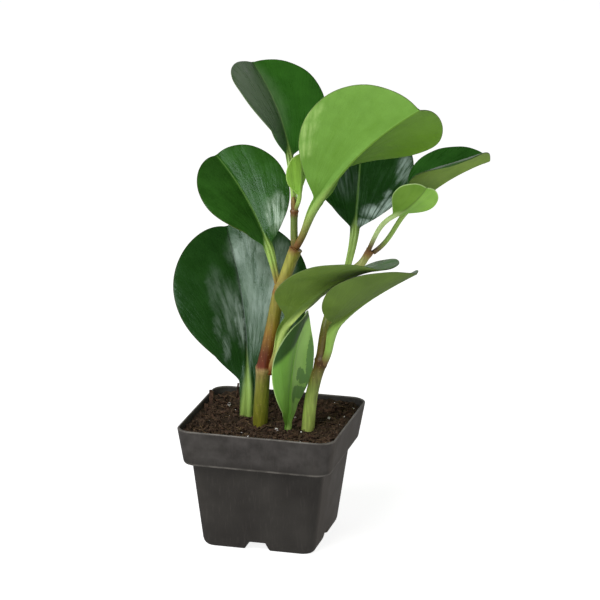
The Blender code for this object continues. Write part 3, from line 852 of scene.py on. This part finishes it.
LEFT_BANDS = [(70, "#808024"), (84, "#7c802a"), (98, "#7a7c30"), (105.5, "#887a42"),
              (107.5, "#a48c58"), (110, "#682a0e"), (119, "#622e0e"), (131, "#866422"),
              (144, "#827a2c"), (155, "#868032"), (158, "#845c2c"), (162, "#928238"),
              (174, "#a0a044"), (181, "#94943c"), (186, "#845a2e"), (192, "#6c7c36"),
              (204, "#627634"), (207, "#6c4422"), (212, "#7c6434")]
RIGHT_BANDS = [(70, "#c2d870"), (84, "#a4bc5c"), (98, "#74863a"), (107, "#707232"),
               (112, "#584820"), (115, "#462c10"), (120, "#564420"), (130, "#74682c"),
               (142, "#7d8c3c"), (155, "#8a9648"), (159, "#7a5c30"), (163, "#a0a458"),
               (174, "#a8b062"), (178.5, "#8c6c3a"), (182, "#6c4426")]
for obj, node, slot, bands in ((left, "left_stem", "olive_stem", LEFT_BANDS),
                               (right, "right_stem", "green_stem", RIGHT_BANDS)):
    paint(obj, stem_finish(slot + "_skin", bands))
    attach(obj, "root")
    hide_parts(node)
print("stems dressed")

# %% [markdown]
# ## Leaves
# A peperomia leaf is a thick, almost round blade on a short petiole. It starts as a flat
# outline, drawn with two curves from the petiole to the tip. The blade is then bent along
# its midrib, each half is folded up and curled back, and the whole is swept and twisted a
# little, as a growing leaf is. The petiole is a bowed stalk that widens into the blade, and
# its top carries a groove. The numbers for each leaf are its place, its turns and its cut.

# %% The eleven leaves
# what a leaf does unless its own line says otherwise
LEAF_HABIT = dict(bend=0, curl=0, sweep=0, twist=0, cup=0.7, widest=0.58, shoulder=0.25,
                  notch=0.03, flare=1.3, rise=(0.0, 0.0, 1.0))
LEAVES = {
    "top_left_leaf": dict(
        foot=(11.2, 2.5, 207.0), base=(5.0, 13.5, 239.5), heading=115, pitch=48, roll=23,
        length=76, width=66, bend=-32, curl=14, sweep=-12, twist=9, left_fold=(20, 16),
        right_fold=(16, 16), shoulder=0.24, notch=0.015, stalk=2.0, flare=1.4),
    "top_young_leaf": dict(
        foot=(11.2, 2.5, 207.0), base=(15.0, -0.5, 219.0), heading=-36, pitch=84, roll=10,
        length=27, width=22, bend=3, left_fold=(23, 11), right_fold=(21, 9), stalk=1.5,
        rise=(0.3, -0.2, 1.0)),
    "top_right_leaf": dict(
        foot=(13.0, 1.0, 186.0), base=(28.0, -7.5, 217.5), heading=-20, pitch=56, roll=-37,
        length=103, width=84, bend=-34, curl=11, sweep=-9, twist=16, left_fold=(40, -13),
        right_fold=(9, 9), cup=1.5, widest=0.61, shoulder=0.23, stalk=2.3, flare=1.7,
        rise=(0.6, -0.1, 1.0)),
    "middle_left_leaf": dict(
        foot=(3.6, -0.6, 158.0), base=(-5.5, 5.0, 184.0), heading=138, pitch=53, roll=-17,
        length=70, width=58, bend=-13, sweep=-16, twist=2, left_fold=(25, -2),
        right_fold=(20, 10), cup=0.62, stalk=2.0, flare=1.6, rise=(-0.35, 0.1, 1.0)),
    "rear_ground_leaf": dict(
        foot=(-20.5, 12.8, 58.0), base=(-20.5, 16.5, 90.0), heading=105, pitch=58, roll=-3,
        length=107, width=89, bend=-3, sweep=-16, twist=-11, left_fold=(22, -1),
        right_fold=(23, 5), shoulder=0.23, stalk=4.0),
    "rear_right_leaf": dict(
        foot=(38.6, 20.6, 160.2), base=(43.0, 31.0, 192.0), heading=97, pitch=52, roll=10,
        length=74, width=68, bend=-9, curl=-6, twist=6, left_fold=(20, -3),
        right_fold=(7, 13), cup=0.56, stalk=2.0, flare=1.5, rise=(0.2, 0.3, 1.0)),
    "far_right_leaf": dict(
        foot=(55.6, 28.2, 179.4), base=(77.0, 30.0, 208.0), heading=24, pitch=43, roll=5,
        length=59, width=56, bend=-28, sweep=-5, left_fold=(22, 17), right_fold=(60, -4),
        cup=1.54, widest=0.54, stalk=1.8, flare=1.4, rise=(1.0, 0.15, 0.75)),
    "right_young_leaf": dict(
        foot=(53.4, 26.2, 181.6), base=(71.0, 14.0, 207.0), heading=-21, pitch=32, roll=-34,
        length=34, width=28, bend=5, curl=8, sweep=19, twist=11, left_fold=(19, -7),
        right_fold=(23, -1), stalk=1.5, flare=1.5, rise=(0.45, -0.35, 1.0)),
    "front_left_stem_leaf": dict(
        foot=(-2.4, -3.4, 106.0), base=(14.5, -16.0, 145.0), heading=-29, pitch=45, roll=-2,
        length=88, width=75, bend=-16, curl=-15, sweep=4, twist=11, left_fold=(5, 29),
        right_fold=(10, 4), cup=1.43, widest=0.57, shoulder=0.27, stalk=3.0, flare=2.5,
        rise=(0.65, -0.2, 1.0)),
    "front_right_stem_leaf": dict(
        foot=(32.4, -3.6, 114.4), base=(44.5, -18.0, 145.5), heading=-44, pitch=39, roll=2,
        length=69, width=65, bend=-4, curl=4, sweep=-40, twist=-11, left_fold=(15, 2),
        right_fold=(-1, 46), cup=1.48, widest=0.57, stalk=2.5, flare=2.1,
        rise=(0.55, -0.3, 1.0)),
    "front_ground_leaf": dict(
        foot=(11.2, -4.8, 58.0), base=(11.5, -5.5, 72.5), heading=-14, pitch=89, roll=-11,
        length=74, width=58, bend=18, curl=-30, sweep=-22, twist=-19, left_fold=(15, -18),
        right_fold=(-22, 23), cup=0.72, widest=0.61, shoulder=0.21, stalk=2.3, flare=1.5),
}
LEAVES = {name: {**LEAF_HABIT, **own} for name, own in LEAVES.items()}
print("leaves to make:", len(LEAVES))


# %% Flat outline, then bent, folded and twisted
def bezier(a, b, c, d, t):
    """The point at t on the curve from a to d that b and c pull."""
    s = 1.0 - t
    return s ** 3 * a + 3 * s * s * t * b + 3 * s * t * t * c + t ** 3 * d


def outline(leaf, t):
    """Flattened half margin at t: (half width, distance along the leaf). The bare numbers
    pull the two curves, as shares of the width and the length."""
    length, width, mid = leaf["length"], leaf["width"], leaf["widest"]
    if t < 0.5:
        s = t * 2.0
        x = bezier(0.0, 0.13 * width, width / 2, width / 2, s)
        y = bezier(0.0, 0.10 * length, 0.4 * mid * length, mid * length, s)
    else:
        s = t * 2.0 - 1.0
        x = bezier(width / 2, width / 2, leaf["shoulder"] * width, 0.0, s)
        y = bezier(mid, mid + 0.62 * (1 - mid), 1.0 + leaf["notch"], 1.0, s) * length
    return x, y


def rotated(a, b, angle):
    """Turns the pair of directions a, b by angle in their own plane."""
    c, s = np.cos(angle)[..., None], np.sin(angle)[..., None]
    return c * a + s * b, -s * a + c * b


PUCKER, WAVE = 0.10, 0.35
MIDRIB_STEPS, PAST_TIP, MIDRIB_HALF = 60, 1.15, 1.0


class Blade:
    """The bent surface: a moving frame along the midrib carries the folded halves."""

    def __init__(self, leaf):
        self.leaf = leaf
        h, p, r = (math.radians(leaf[k]) for k in ("heading", "pitch", "roll"))
        d = np.array((math.cos(p) * math.cos(h), math.cos(p) * math.sin(h), math.sin(p)))
        up = np.array((-math.sin(p) * math.cos(h), -math.sin(p) * math.sin(h), math.cos(p)))
        n = math.cos(r) * up + math.sin(r) * np.cross(d, up)
        self.start = (d, np.cross(d, n), n)
        self.reach = PAST_TIP * leaf["length"]
        self.share = np.linspace(0, 1, MIDRIB_STEPS + 1)
        u = self.share * PAST_TIP
        s = np.cross(d, n) + 0 * u[:, None]
        d, n = rotated(d, n, np.radians(leaf["bend"] * u + leaf["curl"] * u * u))
        d, s = rotated(d, s, np.radians(leaf["sweep"] * u))
        s, n = rotated(s, n, np.radians(leaf["twist"] * u))
        steps = (d[:-1] + d[1:]) / 2 * self.reach / MIDRIB_STEPS
        spots = np.vstack([[0, 0, 0], np.cumsum(steps, 0)]) + np.array(leaf["base"], float)
        self.table = np.hstack([spots, s, n])

    def point(self, x, y):
        """Middle surface at flattened (x across, y along), for whole arrays."""
        leaf = self.leaf
        f = np.clip(y / self.reach, 0, 1)
        row = np.stack([np.interp(f, self.share, self.table[:, k]) for k in range(9)], -1)
        spot, s, n = row[..., :3], row[..., 3:6], row[..., 6:]
        left = x < 0
        inner = np.where(left, leaf["left_fold"][0], leaf["right_fold"][0])
        outer = np.where(left, leaf["left_fold"][1], leaf["right_fold"][1])
        grow = 1 + leaf["cup"] * (1 - np.minimum(y / leaf["length"], 1)) ** 2
        # flat where the petiole runs in, and fully folded a sixth of the way along
        opening = np.clip(y / (0.16 * leaf["length"]), 0, 1)
        a = np.radians(inner * grow) * opening
        b = np.radians(outer) * opening
        k = (b - a) / (leaf["width"] / 2)
        k = np.where(np.abs(k) < 1e-4, 1e-4, k)
        wing = np.maximum(np.abs(x) - MIDRIB_HALF, 0)
        across = np.minimum(np.abs(x), MIDRIB_HALF) + (np.sin(a + k * wing) - np.sin(a)) / k
        rise = (np.cos(a) - np.cos(a + k * wing)) / k + self.ripple(x, y)
        return spot + (np.copysign(across, x)[..., None]) * s + rise[..., None] * n

    def ripple(self, x, y):
        """Slight waves of a living blade: puckers between the side veins, a wavy margin."""
        leaf = self.leaf
        wide = np.abs(x) / (leaf["width"] / 2)
        fan = np.abs(x) / (np.maximum(y, 0) + 14.0)
        pucker = PUCKER * np.sin(30 * fan + leaf["heading"]) * np.clip(wide * 3, 0, 1)
        wave = WAVE * np.sin(y / 7.5 + leaf["roll"] + 1.3 * np.sign(x)) * wide ** 3
        return (pucker + wave) * np.clip(y / (0.3 * leaf["length"]), 0, 1)

    def normal(self, x, y):
        e = 0.4
        along = self.point(x, y + e) - self.point(x, y - e)
        across = self.point(x + e, y) - self.point(x - e, y)
        return unit(np.cross(across, along))


print("leaf surface ready")

# %% [markdown]
# A leaf's section is a lens about 1.1 mm thick at the midrib and 0.7 mm at the margin, which
# is rounded. On the underside the midrib stands out as a keel that fades towards the tip,
# and on top it lies in a shallow groove between two low ridges. Columns of points are packed
# at the rib and at the rounded margin, where the section turns fastest.

# %% Leaf section and skin
LEAF_THICK, MARGIN_THICK = 1.1, 0.7
STALK_ROWS, BLADE_ROWS = 40, 84
RIB_STEPS, BLADE_STEPS, EDGE_STEPS = 7, 14, 3
GROOVE = 0.3


def column_places(half, rib):
    """Places from the left margin to the right one, and the width of the rounded margin."""
    edge = min(MARGIN_THICK / 2, 0.3 * half)
    rib = min(rib, 0.45 * half)
    inside = rib * np.arange(RIB_STEPS) / RIB_STEPS
    middle = rib + (half - edge - rib) * np.arange(BLADE_STEPS + 1) / BLADE_STEPS
    turn = np.radians(90 * np.arange(1, EDGE_STEPS + 1) / EDGE_STEPS)
    out = np.concatenate([inside, middle, half - edge + edge * np.sin(turn)])
    return np.concatenate([-out[::-1], out[1:]]), edge


def heights(v, half, edge, rib, ridge, keel, groove):
    """How far the top and the bottom stand off the middle surface, v from the midrib."""
    flat = (LEAF_THICK + (MARGIN_THICK - LEAF_THICK) * v / half) / 2
    flat = flat * np.sqrt(np.clip(1 - (np.maximum(v - half + edge, 0) / edge) ** 2, 0, 1))
    bow = np.sqrt(np.maximum(rib * rib - v * v, 0))
    top = np.cbrt(flat ** 3 + (0.7 * ridge * bow) ** 3)
    top = top - groove * np.exp(-(v / (0.42 * rib)) ** 2)
    return top, np.cbrt(flat ** 3 + (keel * bow) ** 3)


def petiole_rows(leaf, blade):
    """Rows from the foot up to the blade: its half width and section (edge, rib, ridge, keel
    and groove), then for each column x, the middle surface, which way is up, and y."""
    stalk, flare = leaf["stalk"], leaf["flare"]
    foot, base = np.array(leaf["foot"], float), np.array(leaf["base"], float)
    blade_ahead, _, blade_up = blade.start
    reach = np.linalg.norm(base - foot)
    lift = unit(np.array(leaf["rise"], float))
    pulls = (foot, foot + lift * reach * 0.4, base - blade_ahead * reach * 0.35, base)
    spots = np.array([bezier(*pulls, k / STALK_ROWS) for k in range(STALK_ROWS + 1)])
    walked = np.cumsum([0.0, *np.linalg.norm(np.diff(spots, axis=0), axis=1)])
    for k, spot in enumerate(spots[:-1]):
        t = k / STALK_ROWS
        ahead = unit(bezier(*pulls, t + 0.01) - spot)
        up = unit(blade_up - ahead * blade_up.dot(ahead))
        half = stalk * (1 + (flare - 1) * max(0.0, (t - 0.15) / 0.85) ** 1.5)
        x, edge = column_places(half, stalk)
        yield (half, (edge, stalk, 1.0, 1.0, GROOVE * stalk), x,
               spot + np.outer(x, np.cross(ahead, up)), up + 0 * x[:, None],
               walked[k] - walked[-1] + 0 * x)


def blade_rows(leaf, blade):
    """The same from the base of the blade to its tip. The rib fades on the way."""
    length, stalk = leaf["length"], leaf["stalk"]
    for k in range(BLADE_ROWS + 1):
        t = (k / BLADE_ROWS) ** 0.9
        half, far = outline(leaf, t)
        narrow = stalk * leaf["flare"] * (1 - t) + 1.0 * t
        half = (half ** 3 + narrow ** 3) ** (1 / 3)
        rib = stalk * (1 - 0.7 * t)
        fade = max(0.0, 1 - t / 0.5)
        groove = GROOVE * stalk * (0.35 + 0.65 * fade) * (1 - 0.6 * t)
        x, edge = column_places(half, rib)
        y = length * t + (far - length * t) * np.abs(x) / half
        yield (half, (edge, rib, fade ** 1.5, 0.55 + 0.45 * fade, groove), x,
               blade.point(x, y), blade.normal(x, y), y)


def leaf_skin(name, leaf):
    """The whole leaf with its petiole, its map in cm and its marks in mm."""
    blade = Blade(leaf)
    rings, plan, edges, climbs = [], [], [], []
    for half, section, x, spots, up, y in (*petiole_rows(leaf, blade),
                                           *blade_rows(leaf, blade)):
        high, low = heights(np.abs(x), half, *section)
        # far from the margin on the petiole, so that the margin's colour stays on the blade
        near = half - np.abs(x) + 20 * np.clip(1 - y / (0.12 * leaf["length"]), 0, 1)
        # from left to right on top, and back again below
        back = slice(-2, None, -1)
        top, below = spots + up * high[:, None], spots - up * low[:, None]
        rings.append(np.concatenate([top, below[back]]))
        for rows, values in ((plan, np.stack([x, y], -1)), (edges, near), (climbs, y)):
            rows.append(np.concatenate([values, values[back]]))
    rings, climbs = np.array(rings), np.array(climbs)
    rings[:, -1] = rings[:, 0]
    side = np.zeros(len(x) - 2)
    under = np.concatenate([[0.5], side, [0.5], side + 1, [0.5]])
    marks = {"from_margin": np.array(edges), "under": np.tile(under, (len(rings), 1)),
             "from_foot": climbs - climbs[0, 0]}
    return rolled_skin(name, rings, marks, np.array(plan) / 10)


skins = {name: leaf_skin(name.replace("_leaf", "_leaf_skin"), leaf)
         for name, leaf in LEAVES.items()}
print("leaf faces:", sum(len(o.data.polygons) for o in skins.values()))

# %% [markdown]
# ## Leaf finish
# The top of the blade is deep green under a clear waxy skin, with a line along the midrib that is
# pale on most leaves. The underside is lighter and duller, because there is air under its skin.
# The margin is a hair-thin line, olive on a grown leaf and pale on a young one. Faint veins fan
# out from the base to the margin, and they pull the wax into streaks that show in the gloss. Each
# half of a leaf is made lighter or darker as a whole, as painted light and shade for how a folded
# half faces the light. Pale, whitish ovals, placed leaf by leaf and broken up by the streaks, are
# a painted sheen: the soft box's reflection in the wax, painted into the colour. The small ground
# leaf is variegated: pale, with green blotches on one half; its far end and a strip along one
# margin are darkened as painted shade. All of it follows the blade's own map, in centimetres: U
# across from the midrib, V along from the base.

# %% Leaf material
def ovals(tree, place, spots):
    """Soft ovals on the leaf's map: (u, v, half width, half height, strength)."""
    most = 0.0
    for u, v, wide, tall, strength in spots:
        away = reckon(tree, "SUBTRACT", place, (u, v, 0.0), kind=VECTOR)
        away = reckon(tree, "MULTIPLY", away, (1 / wide, 1 / tall, 0.0), kind=VECTOR)
        away = reckon(tree, "LENGTH", away, kind=VECTOR, out=1)
        near = remap(tree, away, 1.35, 0.35, 0.0, strength, **SOFT)
        most = reckon(tree, "MAXIMUM", near, most)
    return most


def leaf_finish(name, seed, length, top, under, rib_top, rib_under, margin, stalk, foot,
                rough=0.3, wedge=0.2, rib_width=0.5, painted_half_shading=("#ffffff", "#ffffff"), gloss=0.5,
                grain=0.55, painted_sheen=(), sheen_colour=None, blotches_and_shade=(), painted_shade_start=None, brown_end=13.0,
                streaky=0.36):
    """top and under are (dark, light) pairs, stalk and foot the petiole's colours, and tints
    multiply the left and the right half, as painted light and shade for how each half faces the
    light. bloom and patches are ovals on the leaf's map: bloom is a painted sheen, the reflection
    of the soft box painted into the colour, film is its colour, and streaky how far it is broken
    up; patches are the leaf's own blotches, and can also hold painted shade. painted_shade_start
    is where a pale leaf turns dark as painted shade, in cm, and brown_end how far up the petiole
    its brown foot goes, in mm."""
    mat, tree, skin = blank_material(name)
    u, along, _ = axes(tree, add(tree, "ShaderNodeUVMap", uv_map="leaf_plan"))
    across = reckon(tree, "ABSOLUTE", u)
    right = remap(tree, u, -0.02, 0.02)
    edge, below, climb = (add(tree, "ShaderNodeAttribute", out=2, attribute_name=mark)
                          for mark in ("from_margin", "under", "from_foot"))
    below = remap(tree, below, 0.35, 0.65)
    flat_map = add(tree, "ShaderNodeCombineXYZ", {0: u, 1: along, 2: float(seed)})
    cloud = noise(tree, flat_map, 0.7, 4.0, 0.6)
    # veins fan out from the base, and each half has its own
    ahead = reckon(tree, "ADD", reckon(tree, "MAXIMUM", along, 0.0), 1.3)
    spread = reckon(tree, "MULTIPLY", reckon(tree, "DIVIDE", across, ahead), 17.0)
    slow = reckon(tree, "MULTIPLY", along, 0.45)
    shift = reckon(tree, "MULTIPLY_ADD", right, 7.0, float(seed))
    fans = add(tree, "ShaderNodeCombineXYZ", {0: spread, 1: slow, 2: shift})
    streak = noise(tree, fans, 1.0, 5.0, 0.62)
    shade = reckon(tree, "MULTIPLY_ADD", cloud, 0.7, reckon(tree, "MULTIPLY", streak, 0.3))
    shade = remap(tree, shade, 0.30, 0.70)
    upper = blend(tree, shade, *top)
    lower = blend(tree, shade, *under)
    # the map is pushed about by noise, so that ovals drawn on it come out ragged
    warp = noise(tree, flat_map, 1.8, 6.0, 0.75, out=1)
    warped = reckon(tree, "MULTIPLY_ADD", warp, (0.9, 0.9, 0.0), flat_map, kind=VECTOR)
    warped = reckon(tree, "SUBTRACT", warped, (0.45, 0.45, 0.0), kind=VECTOR)
    # painted shade: past a line across the map, the pale leaf is darkened towards its end, where
    # shade falls on it
    if painted_shade_start:
        deep = reckon(tree, "MULTIPLY_ADD", u, 0.7, along)
        deep = remap(tree, deep, painted_shade_start, painted_shade_start + 0.6, 0.0, 0.9, **SOFT)
        lower = blend(tree, deep, lower, "#2a5218")
    # the leaf's own green blotches; a leaf's list can also hold an oval of painted shade
    if blotches_and_shade:
        blot = remap(tree, ovals(tree, warped, blotches_and_shade), 0.42, 0.56)
        lower = blend(tree, blot, lower, "#6a9a42")
    # the midrib is a line that narrows to the tip, and the margin is a hair wide
    slim = remap(tree, along, 0.0, length / 10, 0.12, 0.035)
    line = remap(tree, reckon(tree, "DIVIDE", across, slim), 0.4, 1.1, rib_width, 0.0)
    colour = blend(tree, below, blend(tree, line, upper, rib_top),
                   blend(tree, line, lower, rib_under))
    # painted light and shade: each half is multiplied by its own colour, lighter or darker as that
    # half faces the light
    colour = blend(tree, 1.0, colour, blend(tree, right, *painted_half_shading), blend_type="MULTIPLY")
    colour = blend(tree, remap(tree, edge, 0.15, 0.6, 0.6, 0.0), colour, margin)
    # the petiole runs into the blade as a wedge
    petiole = blend(tree, remap(tree, climb, 3.0, brown_end), foot, stalk)
    slope = reckon(tree, "MULTIPLY", along, 10 / (wedge * length))
    slope = reckon(tree, "MULTIPLY_ADD", across, 2.4, slope)
    colour = blend(tree, remap(tree, slope, 0.0, 1.0, 1.0, 0.0, **SOFT), colour, petiole)
    # painted sheen: pale ovals, broken up by the vein streaks, stand for the soft box's reflection
    # in the wax
    if painted_sheen:
        haze = ovals(tree, warped, painted_sheen)
        haze = reckon(tree, "MULTIPLY", haze, remap(tree, streak, streaky, 0.62))
        colour = blend(tree, haze, colour, sheen_colour)
    # wax shines unevenly, and the underside is duller
    wax = reckon(tree, "MULTIPLY_ADD", cloud, 0.5, streak)
    wax = remap(tree, wax, 0.55, 0.95, rough - 0.1, rough + 0.14)
    height = reckon(tree, "MULTIPLY_ADD", noise(tree, flat_map, 14.0, 3.0), 0.16, streak)
    height = reckon(tree, "MULTIPLY_ADD", cloud, 1.2, height)
    plug(tree, skin, {"Base Color": colour, "IOR": 1.45, "Specular IOR Level": gloss,
                      "Specular Tint": "#e6fff6", "Normal": relief(tree, height, grain, 0.6),
                      "Roughness": reckon(tree, "MULTIPLY_ADD", below, 0.16, wax)})
    return mat


print("leaf finish ready")

# %% Dress each leaf
# Each leaf's own colours, and its stalk's, are set one by one a little lighter or darker than its
# kind: partly painted light and shade, for how much light that leaf or stalk gets where it hangs.
DARK = dict(top=("#1a3f0e", "#2c5c1a"), under=("#557a2c", "#6d9438"), rib_top="#6d9446",
            rib_under="#8fb45a", margin="#4a4a26", stalk="#9cbc5e", foot="#6f5a34")
UNDER = dict(DARK, top=("#1d4a10", "#336a1e"), under=("#4f6a24", "#617d2c"), wedge=0.3,
             rib_under="#6f8c3c", margin="#5c6a34")
YOUNG = dict(DARK, top=("#4c8a28", "#6aa23c"), under=("#6f9f3a", "#8ab852"),
             rib_top="#9cc46a", margin="#a9bf72")
FINISHES = {
    "top_left_leaf": dict(
        DARK, top=("#2a5c18", "#3a7420"), painted_half_shading=("#d8d8d8", "#ffffff"), streaky=0.0,
        painted_sheen=[(-1.7, 4.6, 2.1, 4.0, 0.6)], sheen_colour="#8c9f80"),
    "top_young_leaf": dict(YOUNG, under=("#80b63a", "#9ed04e"), brown_end=9.0),
    "top_right_leaf": dict(
        UNDER, under=("#608b2e", "#709e3b"), rib_under="#88b658", painted_half_shading=("#dcdc98", "#ffffff"),
        foot="#7a5428", brown_end=30.0, sheen_colour="#c4e08c",
        painted_sheen=[(2.7, 2.8, 0.5, 1.0, 0.35), (3.4, 4.0, 0.5, 1.0, 0.4),
               (3.9, 5.2, 0.4, 1.0, 0.35)]),
    "middle_left_leaf": dict(
        DARK, top=("#204511", "#32601e"), rough=0.24, gloss=0.25, foot="#8a5a30",
        brown_end=19.0, sheen_colour="#b8ccb6",
        painted_sheen=[(1.2, 1.6, 0.6, 1.0, 0.9), (1.8, 2.3, 0.35, 0.6, 0.5),
               (0.7, 1.2, 0.3, 0.8, 0.4)]),
    # The big rear leaf's near-black midrib line is painted shade in the midrib's groove.
    "rear_ground_leaf": dict(
        DARK, top=("#193a12", "#234819"), rough=0.27, wedge=0.3, rib_top="#0c1e0a",
        rib_width=0.8, grain=0.85, gloss=0.33, streaky=0.34, sheen_colour="#aebfb4",
        painted_sheen=[(-0.35, 4.3, 0.35, 1.9, 0.85), (-0.9, 5.0, 0.7, 1.9, 0.35),
               (-1.6, 6.2, 0.7, 1.6, 0.2), (-1.9, 3.6, 0.3, 1.0, 0.22),
               (-1.4, 2.4, 0.3, 0.9, 0.35), (1.3, 6.0, 1.4, 3.4, 0.45),
               (2.2, 5.4, 0.5, 2.2, 0.65), (0.9, 8.8, 1.3, 1.2, 0.7),
               (0.6, 3.6, 0.5, 1.4, 0.4), (3.2, 7.5, 0.7, 1.5, 0.5)]),
    "rear_right_leaf": dict(
        DARK, top=("#12310a", "#1c4510"), rough=0.24, sheen_colour="#c0d6cc",
        painted_sheen=[(2.85, 4.0, 0.5, 1.3, 0.6), (1.5, 1.3, 1.1, 0.45, 1.0),
               (2.0, 1.8, 0.5, 0.45, 1.0), (0.6, 0.5, 0.6, 0.35, 0.9),
               (1.9, 2.5, 0.25, 0.4, 0.5), (-0.9, 3.2, 0.9, 1.4, 0.12)]),
    "far_right_leaf": dict(
        UNDER, under=("#5f7a2a", "#748e32"), wedge=0.2, margin="#44542a", stalk="#8cac50"),
    "right_young_leaf": dict(
        YOUNG, rib_under="#5c7a2c", wedge=0.4, stalk="#bcd48c", margin="#c4dc98",
        painted_half_shading=("#ffffe0", "#d4d2b0")),
    "front_left_stem_leaf": dict(
        UNDER, under=("#516c24", "#647e2c"), stalk="#c8e07c", foot="#8a5024", brown_end=26.0),
    "front_right_stem_leaf": dict(UNDER, under=("#485e1c", "#597223"), stalk="#88ac4e"),
    # On the small ground leaf, the darkened far end and the darker half are painted shade.
    "front_ground_leaf": dict(
        YOUNG, under=("#8ec250", "#a8d86c"), wedge=0.12, rib_width=0.1,
        painted_half_shading=("#ffffff", "#c4d8ac"), margin="#b4cc88", stalk="#b8dc78", foot="#b0d470",
        painted_shade_start=5.6,
        # the last, long oval lies along the margin and is painted shade; the others are the leaf's
        # own green blotches
        blotches_and_shade=[(-1.4, 3.2, 0.6, 0.5, 1.0), (-1.9, 2.8, 0.7, 0.4, 1.0),
                 (-1.1, 2.1, 0.8, 0.5, 1.0), (-0.6, 1.8, 0.4, 0.35, 1.0),
                 (-1.8, 1.9, 0.7, 0.5, 1.0), (-2.5, 3.6, 0.5, 2.6, 1.0)])}
for seed, (node, obj) in enumerate(skins.items()):
    length = LEAVES[node]["length"]
    paint(obj, leaf_finish("waxy_" + node, seed, length, **FINISHES[node]))
    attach(obj, "root")
    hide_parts(node)
print("leaves dressed")
